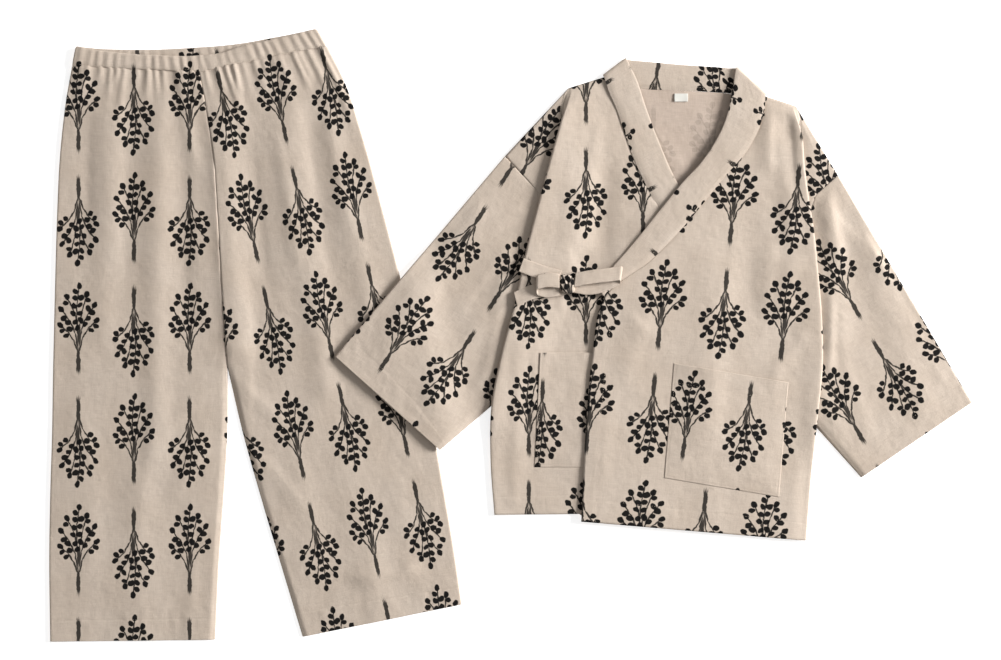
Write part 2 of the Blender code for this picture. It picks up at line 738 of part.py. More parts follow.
def pocket(name, size, side, material, collection):
    """A patch pocket, made from the front's own surface moved out by the wall and a gap."""
    top = Vector((size.to_x - size.x, size.to_down - size.down))
    grid = []
    for j in range(POCKET_STEPS + 1):
        drop = size.depth * j / POCKET_STEPS
        row = []
        for i in range(POCKET_STEPS + 1):
            place = Vector((size.x, size.down)) + top * (i / POCKET_STEPS)
            place += Vector((size.lean * j / POCKET_STEPS, drop))
            x, down = place
            at = nearest_row(side.rows, down)
            outer = front_edges(side.rows, at)[1]
            fold = Fold(*line_at(side.folds, at))
            inside = (Vector(outer) - place).length
            height = front_height(fold, x, down, inside)
            row.append((x, down, height + HALF + SEAM_GAP + POCKET_CLEARANCE + POCKET_WALL / 2))
        grid.append(row)
    return sheet(name, grid, JACKET_AT, POCKET_WALL, material, collection)


def loop_route(strands):
    """The route of a loop: out along the lower strand, round its end and back along the upper one."""
    lower, upper = strands
    start, stop = Vector(lower[-1]), Vector(upper[-1])
    outward = (start.xy - Vector(lower[0][:2])).normalized()
    radius = abs(stop.z - start.z) / 2
    route = list(lower)
    for k in range(1, LOOP_END_STEPS):
        angle = math.pi * k / LOOP_END_STEPS
        x, down = start.xy.lerp(stop.xy, k / LOOP_END_STEPS) + outward * radius * math.sin(angle)
        route.append((x, down, (start.z + stop.z) / 2 - radius * math.cos(angle)))
    return route + list(reversed(upper))


def ribbon(name, route, lean, material, collection):
    """A tie: a flat strip along its route, its width across the cloth."""
    across = Vector((math.sin(math.radians(lean)), math.cos(math.radians(lean)))) * TIE_WIDTH / 2
    grid = []
    for bend in route:
        x, down, height = bend
        grid.append([(x - across.x, down - across.y, height), (x + across.x, down + across.y, height)])
    return sheet(name, grid, JACKET_AT, TIE_WALL, material, collection)


def tie_knot(material, collection):
    """The knot: a box drawn soft, between the loops and the tails."""
    bm = bmesh.new()
    bmesh.ops.create_cube(bm, size=1)
    size = Vector(KNOT_SIZE)
    for vert in bm.verts:
        vert.co = Vector(a * b for a, b in zip(vert.co, size)) * MM
    mesh = bpy.data.meshes.new("tie_knot")
    bm.to_mesh(mesh)
    bm.free()
    obj = link("tie_knot", mesh, material, collection)
    obj.location = Vector((JACKET_AT.x + KNOT.x, JACKET_AT.y - KNOT.down, KNOT.height)) * MM
    bevel = obj.modifiers.new("Soft edges", "BEVEL")
    bevel.width = KNOT_ROUND * MM
    bevel.segments = 3
    return obj


def size_label(material, collection):
    """The plain label at the back neck, on the inside of the back."""
    bm = bmesh.new()
    bmesh.ops.create_cube(bm, size=1)
    for vert in bm.verts:
        vert.co = Vector(a * b for a, b in zip(vert.co, LABEL_SIZE)) * MM
    mesh = bpy.data.meshes.new("size_label")
    bm.to_mesh(mesh)
    bm.free()
    obj = link("size_label", mesh, material, collection)
    height = WALL + SEAM_GAP + LABEL_SIZE[2] / 2
    obj.location = Vector((JACKET_AT.x + LABEL_AT.x, JACKET_AT.y - LABEL_AT.down, height)) * MM
    return obj


def main():
    for obj in list(bpy.data.objects):
        bpy.data.objects.remove(obj)
    collection = bpy.data.collections.new("kimono_pajama_set")
    bpy.context.scene.collection.children.link(collection)
    cotton = cloth_material("printed_cotton", (0.58, 0.47, 0.38), 0.9)
    tape = cloth_material("label_tape", (0.9, 0.89, 0.86), 0.6)

    leg("trouser_right_leg", RIGHT_LEG, cotton, collection)
    leg("trouser_left_leg", LEFT_LEG, cotton, collection)
    waist_casing(cotton, collection)

    right = Side(RIGHT_FRONT, RIGHT_FOLD, RIGHT_FRONT_ROWS, RIGHT_ARMHOLE_FRONT, RIGHT_ARMHOLE_BACK_ROWS)
    left = Side(LEFT_FRONT, LEFT_FOLD, LEFT_FRONT_ROWS, LEFT_ARMHOLE_FRONT, LEFT_ARMHOLE_BACK_ROWS)
    jacket_back(right, left, cotton, collection)
    front("jacket_right_front", right, cotton, collection)
    front("jacket_left_front", left, cotton, collection)
    sleeve("right_sleeve", right, RIGHT_CUFF, RIGHT_SLEEVE_RIDGES, leg_lift, cotton, collection)
    sleeve("left_sleeve", left, LEFT_CUFF, LEFT_SLEEVE_RIDGES, no_lift, cotton, collection)
    neckband(cotton, collection)
    pocket("right_pocket", RIGHT_POCKET, right, cotton, collection)
    pocket("left_pocket", LEFT_POCKET, left, cotton, collection)

    ribbon("tie_right_loop", loop_route(RIGHT_LOOP), -TIE_LEAN, cotton, collection)
    ribbon("tie_left_loop", loop_route(LEFT_LOOP), 0, cotton, collection)
    ribbon("tie_upper_tail", UPPER_TAIL, UPPER_TAIL_LEAN, cotton, collection)
    ribbon("tie_lower_tail", LOWER_TAIL, LOWER_TAIL_LEAN, cotton, collection)
    ribbon("tie_band_end", BAND_TIE, -TIE_LEAN, cotton, collection)
    tie_knot(cotton, collection)
    size_label(tape, collection)


main()
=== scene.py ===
"""The looks of a child's kimono pajama set of printed cotton, laid out flat and seen from above.

The set is a wrap jacket, tied at the wearer's right side, and elastic-waist trousers. Each cut piece
of cloth is a class that works its folds out from named sizes. Sizes are in millimetres and become
metres where a mesh is placed. A garment has its own plan: x runs to the viewer's right and down runs
towards the hem. "Right" and "left" are the wearer's, so the right side is at the viewer's left.
"""

import logging
import math
from dataclasses import dataclass
from enum import Enum
from typing import Optional, Sequence

import bpy
import numpy as np
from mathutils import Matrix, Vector


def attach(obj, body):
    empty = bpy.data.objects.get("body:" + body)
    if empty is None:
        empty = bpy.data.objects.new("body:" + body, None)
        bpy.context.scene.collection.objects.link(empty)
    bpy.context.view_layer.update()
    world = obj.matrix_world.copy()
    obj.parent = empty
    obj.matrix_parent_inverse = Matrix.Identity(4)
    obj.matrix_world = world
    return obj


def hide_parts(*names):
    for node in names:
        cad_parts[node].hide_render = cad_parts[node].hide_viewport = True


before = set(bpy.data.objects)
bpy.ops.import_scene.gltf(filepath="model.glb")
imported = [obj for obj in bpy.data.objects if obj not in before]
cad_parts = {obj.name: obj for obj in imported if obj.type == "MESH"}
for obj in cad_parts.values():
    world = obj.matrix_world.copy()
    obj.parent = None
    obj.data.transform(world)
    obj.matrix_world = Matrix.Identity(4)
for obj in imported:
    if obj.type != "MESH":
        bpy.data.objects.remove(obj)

LOG = logging.getLogger("pajama_set")
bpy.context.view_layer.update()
MM = 0.001

Array = np.ndarray
Points = Sequence[tuple[float, ...]]


class Slot(Enum):
    """The record's material slots."""

    COTTON = "printed_cotton"
    TAPE = "label_tape"


class Layer(Enum):
    """Which material slot of a sheet a face uses."""

    RIGHT_SIDE = 0
    WRONG_SIDE = 1


# Heights of the middle of the cloth above the surface that the set lies on
WALL = 0.8
HALF = WALL / 2
FLOOR_LEVEL = HALF
SEAM_LEVEL = 2.2
TROUSER_FRONT_LEVEL = 3.2
SLEEVE_FRONT_LEVEL = 3.0

# The sewing thread
STITCH_PITCH = 3.0
STITCH_LENGTH = 2.2
THREAD_RADIUS = 0.11
THREAD_SIDES = 4


def ease(value: Array | float) -> Array | float:
    """Returns 0 to 1 for a value of 0 to 1, with no slope at either end."""
    t = np.clip(value, 0.0, 1.0)
    return t * t * (3 - 2 * t)


def groove(distance: Array | float, width: float) -> Array | float:
    """Returns 1 on a seam's line and 0 away from it."""
    return np.exp(-((distance / width) ** 2))


def rounded(value: Array, power: float) -> Array:
    """Returns a sine or cosine pushed out towards 1 and -1, for a section with full edges."""
    return np.sign(value) * np.abs(value) ** power


def nearest(values: Array, target: float) -> int:
    """Returns the number of the value that is closest to the target."""
    return int(np.abs(values - target).argmin())


def running_length(line: Array) -> Array:
    """Returns how far along a line each of its places lies."""
    return np.concatenate([[0], np.cumsum(np.linalg.norm(np.diff(line, axis=0), axis=1))])


def ways_across(start: Array, stop: Array) -> tuple[Array, Array]:
    """Works out the way across a piece at each row.

    Args:
        start: the rows' first places.
        stop: their last ones.

    Returns:
        The ways, each one unit long, with an axis for the columns, and how far it is across.
    """
    way = stop - start
    length = np.linalg.norm(way, axis=1)[:, None]
    return way[:, None] / length[..., None], length


def turn_angles(steps: int) -> Array:
    """Returns the angles inside a half turn that is made in so many steps."""
    return np.linspace(0, math.pi, steps + 1)[1:-1]


def hem_step(from_edge: Array, depth: float, rise: float, dip: float) -> Array:
    """Returns how high a hem's doubled cloth stands, with a dip along the line where it is sewn."""
    return rise * ease((depth - from_edge) / 1.5) - dip * groove(from_edge - depth, 1.0)


def pick(obj: bpy.types.Object) -> None:
    """Selects one object alone and makes it the active one.

    Args:
        obj: the object.
    """
    bpy.ops.object.select_all(action="DESELECT")
    bpy.context.view_layer.objects.active = obj
    obj.select_set(True)


def lay_print(mesh: bpy.types.Mesh, uv: Array) -> None:
    """Gives a mesh the print's coordinates.

    Args:
        mesh: the mesh.
        uv: the coordinates of each vertex, in metres.
    """
    layer = mesh.uv_layers.new(name="print")
    corners = np.empty(len(mesh.loops), np.int32)
    mesh.loops.foreach_get("vertex_index", corners)
    layer.data.foreach_set("uv", uv[corners].astype(np.float32).ravel())


def curve_at(points: Points, at: Array | float) -> Array:
    """Reads a smooth curve through all the rows of a table.

    Args:
        points: the table, one row for each place.
        at: row numbers, whole or not.

    Returns:
        The places at those row numbers.
    """
    table = np.asarray(points, float)
    at = np.asarray(at, float)
    last = len(table) - 1
    i = np.clip(at.astype(int), 0, last - 1)
    t = (at - i)[..., None]
    longer = np.vstack([2 * table[0] - table[1], table, 2 * table[-1] - table[-2]])
    p0, p1, p2, p3 = (longer[i + k] for k in range(4))
    return p1 + 0.5 * t * (p2 - p0 + t * (2 * p0 - 5 * p1 + 4 * p2 - p3 + t * (3 * (p1 - p2) + p3 - p0)))


def line_at(points: Points, at: Array | float) -> Array:
    """Reads the same table on straight lines between its rows.

    Args:
        points: the table.
        at: row numbers, whole or not.

    Returns:
        The places at those row numbers.
    """
    table = np.asarray(points, float)
    at = np.asarray(at, float)
    i = np.clip(at.astype(int), 0, len(table) - 2)
    return table[i] + (table[i + 1] - table[i]) * (at - i)[..., None]


def soft_noise(x: Array, y: Array, size: float, seed: int) -> Array:
    """Works out smooth, even hills and hollows over a plane.

    Args:
        x: places across.
        y: places along.
        size: how far apart the hills are, in the places' own units.
        seed: which pattern of hills.

    Returns:
        Heights from -1 to 1.
    """
    rng = np.random.default_rng(seed)
    table = rng.uniform(-1, 1, (64, 64))
    u, v = x / size + 64, y / size + 64
    i, j = np.floor(u).astype(int), np.floor(v).astype(int)
    s, t = ease(u - i), ease(v - j)
    a, b = table[i % 64, j % 64], table[(i + 1) % 64, j % 64]
    c, d = table[i % 64, (j + 1) % 64], table[(i + 1) % 64, (j + 1) % 64]
    return (a + (b - a) * s) * (1 - t) + (c + (d - c) * s) * t


def spaced(stops: Sequence[tuple[float, float]]) -> Array:
    """Sets out places along a line, with a pitch of its own on each stretch.

    Args:
        stops: for each stretch its end and its pitch. The first stretch starts at 0.

    Returns:
        The places, from 0 to the last end.
    """
    places, start = [0.0], 0.0
    for end, pitch in stops:
        if end > start:
            count = max(1, round((end - start) / pitch))
            places += [start + (end - start) * k / count for k in range(1, count + 1)]
            start = end
    return np.array(places)


@dataclass(frozen=True)
class Ridge:
    """A soft fold that the solids have too, of even height along its line."""

    x: float
    down: float
    to_x: float
    to_down: float
    width: float
    height: float

    def at(self, x: Array, down: Array) -> Array:
        """Works out how high the fold stands.

        Args:
            x: places across.
            down: places down.

        Returns:
            Its height at each place.
        """
        line = np.array((self.to_x - self.x, self.to_down - self.down))
        share = ((x - self.x) * line[0] + (down - self.down) * line[1]) / line.dot(line)
        share = np.clip(share, 0, 1)
        away = np.hypot(x - self.x - line[0] * share, down - self.down - line[1] * share)
        return self.height * np.exp(-((away / self.width) ** 2))


@dataclass(frozen=True)
class Crease:
    """A finer fold or trough that dies out at both ends.

    bow is how far its middle lies off the straight line, and lean makes one flank steeper.
    """

    x: float
    down: float
    to_x: float
    to_down: float
    width: float
    height: float
    bow: float = 0.0
    lean: float = 0.0

    def at(self, x: Array, down: Array) -> Array:
        """Works out how high the crease stands.

        Args:
            x: places across.
            down: places down.

        Returns:
            Its height at each place.
        """
        line = np.array((self.to_x - self.x, self.to_down - self.down))
        length = math.hypot(*line)
        across = np.array((-line[1], line[0])) / length
        share = ((x - self.x) * line[0] + (down - self.down) * line[1]) / length**2
        off = (x - self.x) * across[0] + (down - self.down) * across[1]
        off = off - self.bow * 4 * share * (1 - share)
        width = self.width * (1 + self.lean * np.sign(off))
        ends = ease(share / 0.3) * ease((1 - share) / 0.3)
        return self.height * ends * np.exp(-((off / width) ** 2))


def relief(folds: Sequence[Ridge | Crease], x: Array, down: Array) -> Array:
    """Adds up folds.

    Args:
        folds: the folds.
        x: places across.
        down: places down.

    Returns:
        How high they stand together at each place.
    """
    total = np.zeros(np.broadcast(x, down).shape)
    for fold in folds:
        total = total + fold.at(x, down)
    return total


@dataclass(frozen=True)
class Plan:
    """Where a garment's datum lies in the frame."""

    x: float
    y: float

    def place(self, grid: Array) -> Array:
        """Returns places (x, down, height) of the plan in the frame, in metres."""
        return np.stack([self.x + grid[..., 0], self.y - grid[..., 1], grid[..., 2]], -1) * MM


TROUSERS = Plan(-326.0, 276.7)
JACKET = Plan(181.0, 257.7)


@dataclass(frozen=True)
class PrintLay:
    """How the print lies on a piece: the middle of an upright sprig, its lean and the pitch.

    lean turns the sprigs' feet towards the viewer's right, in degrees. squeeze is below 1 where
    gathers bring the columns closer.
    """

    x: float
    down: float
    lean: float = 0.0
    squeeze: float = 1.0

    def uv(self, x: Array, down: Array) -> Array:
        """Works out the print's own coordinates.

        Args:
            x: places across.
            down: places down.

        Returns:
            The coordinates at each place, in metres.
        """
        c, s = math.cos(math.radians(self.lean)), math.sin(math.radians(self.lean))
        dx, dy = x - self.x, down - self.down
        return np.stack([(dx * c - dy * s) / self.squeeze, -(dx * s + dy * c)], -1) * MM


# Shader groups

class Nodes:
    """Small helpers that add nodes to a tree."""

    def __init__(self, tree: bpy.types.NodeTree) -> None:
        """Keeps the tree."""
        self.tree = tree

    def put(self, value: object, socket: bpy.types.NodeSocket) -> None:
        """Links a socket to another one, or gives it a constant unless that is None."""
        if isinstance(value, bpy.types.NodeSocket):
            self.tree.links.new(value, socket)
        elif value is not None:
            socket.default_value = value

    def node(self, kind: str, *values: object, **settings: object) -> bpy.types.Node:
        """Adds a node.

        Args:
            kind: the node's type.
            values: what goes into its first sockets, a socket or a constant, or None.
            settings: its properties.

        Returns:
            The node.
        """
        node = self.tree.nodes.new(kind)
        for key, value in settings.items():
            setattr(node, key, value)
        for socket, value in zip(node.inputs, values):
            self.put(value, socket)
        return node

    def math(self, operation: str, *values: object) -> bpy.types.NodeSocket:
        """Returns the result of a Math node."""
        return self.node("ShaderNodeMath", *values, operation=operation).outputs[0]

    def vector(self, operation: str, *values: object) -> bpy.types.NodeSocket:
        """Returns the result of a Vector Math node, of LENGTH its value."""
        outputs = self.node("ShaderNodeVectorMath", *values, operation=operation).outputs
        return outputs[1] if operation == "LENGTH" else outputs[0]

    def smooth(self, value: object, low: float, high: float) -> bpy.types.NodeSocket:
        """Returns 0 to 1 as the value goes from low to high."""
        node = self.node("ShaderNodeMapRange", value, low, high, interpolation_type="SMOOTHSTEP")
        return node.outputs[0]

    def noise(self, place: object, scale: float, detail: float) -> bpy.types.Node:
        """Adds a flat noise texture.

        Args:
            place: the coordinates.
            scale: its scale.
            detail: how many finer layers it has.

        Returns:
            The node.
        """
        node = self.node("ShaderNodeTexNoise", place, noise_dimensions="2D")
        node.inputs["Scale"].default_value = scale
        node.inputs["Detail"].default_value = detail
        return node

    def mix(self, factor: bpy.types.NodeSocket, first: object, second: object) -> bpy.types.NodeSocket:
        """Mixes two colours.

        Args:
            factor: how much of the second one there is.
            first: the first colour, a socket or red, green, blue and alpha.
            second: the second colour, the same.

        Returns:
            The mixed colour's socket.
        """
        node = self.node("ShaderNodeMix", data_type="RGBA")
        for socket, value in zip((node.inputs["Factor"], *node.inputs[6:8]), (factor, first, second)):
            self.put(value, socket)
        return node.outputs[2]


class NodeGroup(Nodes):
    """A shader node group with named sockets."""

    def __init__(self, name: str, inputs: dict[str, str], outputs: dict[str, str]) -> None:
        """Makes an empty group.

        Args:
            name: the group's name.
            inputs: socket types by name.
            outputs: socket types by name.
        """
        super().__init__(bpy.data.node_groups.new(name, "ShaderNodeTree"))
        for sockets, side in ((inputs, "INPUT"), (outputs, "OUTPUT")):
            for socket, kind in sockets.items():
                self.tree.interface.new_socket(socket, in_out=side, socket_type=kind)
        self.start = self.tree.nodes.new("NodeGroupInput").outputs
        self.end = self.tree.nodes.new("NodeGroupOutput").inputs

    def finish(self, socket: str, value: bpy.types.NodeSocket) -> None:
        """Links a result to a named output."""
        self.tree.links.new(value, self.end[socket])


def new_material(name: str, settings: dict[str, object]) -> bpy.types.Material:
    """Makes a material with one Principled BSDF.

    Args:
        name: its name.
        settings: the shader's constant values by socket.

    Returns:
        The material.
    """
    material = bpy.data.materials.new(name)
    material.use_nodes = True
    shader = material.node_tree.nodes["Principled BSDF"]
    for socket, value in settings.items():
        shader.inputs[socket].default_value = value
    return material


@dataclass(frozen=True)
class Branch:
    """One stem of the sprig's crown: where it starts and ends, its bow and its lowest bud."""

    x: float
    y: float
    bow: float
    lowest: float
    start_x: float
    start_y: float


@dataclass(frozen=True)
class Mark:
    """One dab of ink: an ellipse."""

    x: float
    y: float
    turn: float
    half_length: float
    half_width: float


@dataclass(frozen=True)
class SprigPrint:
    """The print: an upright sprig of buds in each cell, turned round in every second one."""

    column_pitch: float = 61.0
    row_pitch: float = 116.0
    turned_drop: float = 4.0
    joint: float = -23.0
    foot: float = -46.5
    bud_length: float = 3.65
    bud_width: float = 2.9
    bud_reach: float = 3.9
    bud_spread: float = 58.0
    bud_pitch: float = 1.9
    bud_room: float = 5.9
    stem_width: float = 1.0
    stem_pieces: int = 3
    wobble: float = 0.95
    wobble_scale: float = 0.21
    seed: int = 8
    branches: tuple[Branch, ...] = (
        Branch(1.0, 44.0, -2.6, 0.34, 0.3, -14.0),
        Branch(-19.0, 19.5, 4.6, 0.36, -0.9, -21.0),
        Branch(18.0, 24.0, -4.2, 0.36, 0.9, -18.0),
        Branch(-12.5, 32.5, 4.4, 0.30, -0.3, -16.0),
        Branch(9.5, 35.0, -2.2, 0.34, 0.6, -12.0),
        Branch(-20.0, 3.0, 3.2, 0.55, -1.2, -24.0),
        Branch(20.5, 8.0, -4.4, 0.50, 1.2, -24.0),
    )

    def branch_line(self, branch: Branch, t: Array | float) -> Array:
        """Finds places on a branch.

        Args:
            branch: the branch.
            t: how far along it they are, from the joint at 0 to its tip at 1.

        Returns:
            The places.
        """
        start, tip = np.array((branch.start_x, branch.start_y)), np.array((branch.x, branch.y))
        across = np.array((start[1] - tip[1], tip[0] - start[0])) / np.hypot(*(tip - start))
        middle = (start + tip) / 2 - across * branch.bow * 2
        t = np.asarray(t, float)[..., None]
        return (1 - t) ** 2 * start + 2 * t * (1 - t) * middle + t * t * tip

    def stem_marks(self) -> list[Mark]:
        """Sets out the dabs of ink of the branches and of the bundle below the joint.

        Returns:
            The dabs.
        """
        stems = []
        for branch in self.branches:
            ends = self.branch_line(branch, np.linspace(0, 1, self.stem_pieces + 1))
            for k, (a, b) in enumerate(zip(ends, ends[1:])):
                reach = math.hypot(*(b - a)) / 2 * 1.22
                thick = self.stem_width * (1.0 - 0.08 * k)
                stems.append(Mark(*((a + b) / 2), math.atan2(b[1] - a[1], b[0] - a[0]), reach, thick))
        middle, reach = (self.joint + self.foot) / 2, (self.joint - self.foot) / 2
        for x, rise, splay in ((-1.1, 1.6, -0.035), (0.1, 0.0, 0.0), (1.1, 1.0, 0.04)):
            stems.append(Mark(x, middle + rise, math.pi / 2 + splay, reach + 1.5, self.stem_width * 1.15))
        stems.append(Mark(0.0, self.foot + 7.5, math.pi / 2, 7.6, 1.7))
        return stems

    def bud_marks(self) -> list[Mark]:
        """Sets out the buds, from each branch's tip down, wherever there is room for one.

        Returns:
            The buds.
        """
        rng = np.random.default_rng(self.seed)
        buds = []

        def add(place: Array, turn: float, size: float) -> None:
            """Adds a bud unless another one is too close."""
            if all(math.hypot(bud.x - place[0], bud.y - place[1]) > self.bud_room for bud in buds):
                buds.append(Mark(*place, turn, self.bud_length * size, self.bud_width * size))

        for branch in self.branches:
            step = self.branch_line(branch, 1.0) - self.branch_line(branch, 0.97)
            add(self.branch_line(branch, 1.0), math.atan2(step[1], step[0]), 1.0)
        for number, branch in enumerate(self.branches):
            length = math.hypot(branch.x - branch.start_x, branch.y - branch.start_y)
            at, side = 1 - 2.6 / length, 1 if number % 2 else -1
            while at > branch.lowest:
                step = self.branch_line(branch, at + 0.02) - self.branch_line(branch, at - 0.02)
                spread = math.radians(self.bud_spread + rng.uniform(-20, 20))
                turn = math.atan2(step[1], step[0]) + side * spread
                out = self.bud_reach * rng.uniform(0.85, 1.3) * np.array((math.cos(turn), math.sin(turn)))
                add(self.branch_line(branch, at) + out, turn, rng.uniform(0.85, 1.12))
                side = -side
                at -= self.bud_pitch / length
        return buds

    def group(self) -> bpy.types.NodeTree:
        """Builds the group: masks of buds and stems from the print's coordinates in metres.

        Returns:
            The group.
        """
        g = NodeGroup(
            "Sprig print",
            {"Place": "NodeSocketVector"},
            {"Buds": "NodeSocketFloat", "Stems": "NodeSocketFloat"},
        )
        place = g.vector("SCALE", g.start["Place"])
        place.node.inputs["Scale"].default_value = 1 / MM
        u, v = g.node("ShaderNodeSeparateXYZ", place).outputs[:2]
        column = g.math("DIVIDE", u, self.column_pitch)
        row = g.math("DIVIDE", v, self.row_pitch)
        whole_column, whole_row = g.math("ROUND", column), g.math("ROUND", row)
        turned = g.math("FLOORED_MODULO", g.math("ADD", whole_column, whole_row), 2.0)
        sign = g.math("MULTIPLY_ADD", turned, -2.0, 1.0)
        x = g.math("MULTIPLY", g.math("SUBTRACT", column, whole_column), self.column_pitch)
        y = g.math("MULTIPLY", g.math("SUBTRACT", row, whole_row), self.row_pitch)
        y = g.math("ADD", y, g.math("MULTIPLY", turned, self.turned_drop))
        upright = g.node("ShaderNodeCombineXYZ", x, y, 0.0).outputs[0]
        upright = g.vector("SCALE", upright)
        g.tree.links.new(sign, upright.node.inputs["Scale"])
        wobble = g.noise(place, self.wobble_scale, 1.0).outputs["Color"]
        most = self.wobble
        shake = g.vector("MULTIPLY_ADD", wobble, (2 * most, 2 * most, 0.0), (-most, -most, 0.0))
        inked = g.vector("ADD", upright, shake)
        inks = (("Stems", self.stem_marks(), 0.25), ("Buds", self.bud_marks(), 0.1))
        for socket, marks, soft in inks:
            nearest = None
            for mark in marks:
                dab = g.node("ShaderNodeMapping", inked, vector_type="TEXTURE")
                dab.inputs["Location"].default_value = (mark.x, mark.y, 0)
                dab.inputs["Rotation"].default_value = (0, 0, mark.turn)
                dab.inputs["Scale"].default_value = (mark.half_length, mark.half_width, 1)
                reach = g.vector("LENGTH", dab.outputs[0])
                nearest = reach if nearest is None else g.math("MINIMUM", nearest, reach)
            g.finish(socket, g.smooth(nearest, 1 + soft, 1 - soft))
        return g.tree


@dataclass(frozen=True)
class PlainWeave:
    """The cotton's threads: over and under in turn, with slubs and small crumples."""

    pitch: float = 0.62
    crumple: float = 9.0

    def group(self) -> bpy.types.NodeTree:
        """Builds the group: thread height, shade of the threads and crumple from metres.

        Returns:
            The group.
        """
        g = NodeGroup(
            "Plain weave",
            {"Place": "NodeSocketVector"},
            {"Threads": "NodeSocketFloat", "Crumple": "NodeSocketFloat", "Slubs": "NodeSocketFloat"},
        )
        place = g.vector("SCALE", g.start["Place"])
        place.node.inputs["Scale"].default_value = 1 / MM / self.pitch
        u, v = g.node("ShaderNodeSeparateXYZ", place).outputs[:2]
        warp = g.math("ABSOLUTE", g.math("SINE", g.math("MULTIPLY", u, math.pi)))
        weft = g.math("ABSOLUTE", g.math("SINE", g.math("MULTIPLY", v, math.pi)))
        checker = g.math("ADD", g.math("FLOOR", u), g.math("FLOOR", v))
        over = g.math("FLOORED_MODULO", checker, 2.0)
        high = g.math("MULTIPLY", warp, g.math("MULTIPLY_ADD", weft, 0.4, 0.6))
        low = g.math("MULTIPLY", weft, g.math("MULTIPLY_ADD", warp, 0.4, 0.6))
        threads = g.node("ShaderNodeMix", over, data_type="FLOAT")
        g.tree.links.new(high, threads.inputs["A"])
        g.tree.links.new(low, threads.inputs["B"])
        g.finish("Threads", threads.outputs["Result"])
        slubs = None
        for stretch in ((0.9, 0.045, 1.0), (0.045, 0.9, 1.0)):
            streaked = g.vector("MULTIPLY", place, stretch)
            value = g.noise(streaked, 1.0, 2.0).outputs["Fac"]
            slubs = value if slubs is None else g.math("ADD", slubs, value)
        g.finish("Slubs", g.math("MULTIPLY", slubs, 0.5))
        g.finish("Crumple", g.noise(place, self.pitch / self.crumple, 3.0).outputs["Fac"])
        return g.tree


# Finishes

@dataclass(frozen=True)
class PrintedCotton:
    """Matt plain-weave cotton, beige, with the print on its right side."""

    warm: tuple[float, float, float] = (0.570, 0.470, 0.382)
    cool: tuple[float, float, float] = (0.640, 0.543, 0.456)
    bud_ink: tuple[float, float, float] = (0.0035, 0.0032, 0.0034)
    stem_ink: tuple[float, float, float] = (0.0060, 0.0056, 0.0056)
    wrong_side_ink: float = 0.15
    # Painted shade: the wrong side, which shows in the neck's opening, is made darker
    wrong_side_painted_shade: tuple[float, float, float] = (0.93, 0.90, 0.90)
    roughness: float = 0.92
    mottle_size: float = 55.0
    # How dark the thread colour gets: the slubs' own tone, and painted shade in the weave's hollows
    slub_and_painted_shade: float = 0.72
    thread_depth: float = 0.09
    crumple_depth: float = 0.5

    def material(
        self, layer: Layer, sprig: bpy.types.NodeTree, weave: bpy.types.NodeTree
    ) -> bpy.types.Material:
        """Builds the material of one side of the cloth.

        Args:
            layer: the right side, or the wrong side where the print only shows through.
            sprig: the print's group.
            weave: the weave's group.

        Returns:
            The material.
        """
        material = new_material("cotton_" + layer.name.lower(), {
            "Roughness": self.roughness,
            "Specular IOR Level": 0.12,
            "Sheen Weight": 0.05,
            "Sheen Roughness": 0.5,
        })
        n = Nodes(material.node_tree)
        place = n.node("ShaderNodeUVMap", uv_map="print").outputs[0]
        ink = n.node("ShaderNodeGroup", node_tree=sprig)
        cloth = n.node("ShaderNodeGroup", node_tree=weave)
        for group in (ink, cloth):
            n.put(place, group.inputs["Place"])
        wrong = layer is Layer.WRONG_SIDE
        strength = self.wrong_side_ink if wrong else 1.0
        # The wrong side's colours get painted shade; the right side keeps its own colours
        shade = self.wrong_side_painted_shade if wrong else (1.0, 1.0, 1.0)
        warm, cool = ((*(c * k for c, k in zip(tone, shade)), 1.0) for tone in (self.warm, self.cool))
        slub_and_shade_colour = (*(c * self.slub_and_painted_shade for c in warm[:3]), 1.0)
        mottle = n.noise(place, 1 / (self.mottle_size * MM), 2.0).outputs["Fac"]
        colour = n.mix(n.math("MULTIPLY_ADD", mottle, 1.6, -0.3), warm, cool)
        for share, times, plus, tone in (
            (cloth.outputs["Slubs"], -1.1, 0.72, slub_and_shade_colour),
            # Painted shade: the low places between the threads, as the weave's height gives them, are darker
            (cloth.outputs["Threads"], -0.22, 0.24, slub_and_shade_colour),
            (ink.outputs["Stems"], 0.93 * strength, 0.0, (*self.stem_ink, 1.0)),
            (ink.outputs["Buds"], 0.99 * strength, 0.0, (*self.bud_ink, 1.0)),
        ):
            colour = n.mix(n.math("MULTIPLY_ADD", share, times, plus), colour, tone)
        shader = n.tree.nodes["Principled BSDF"]
        n.put(colour, shader.inputs["Base Color"])
        height = n.node(
            "ShaderNodeMath", cloth.outputs["Crumple"], self.crumple_depth, operation="MULTIPLY_ADD"
        )
        n.put(n.math("MULTIPLY_ADD", cloth.outputs["Threads"], self.thread_depth, 0.0), height.inputs[2])
        bump = n.node("ShaderNodeBump")
        bump.inputs["Distance"].default_value = MM
        bump.inputs["Strength"].default_value = 1.0
        n.put(height.outputs[0], bump.inputs["Height"])
        n.put(bump.outputs[0], shader.inputs["Normal"])
        return material


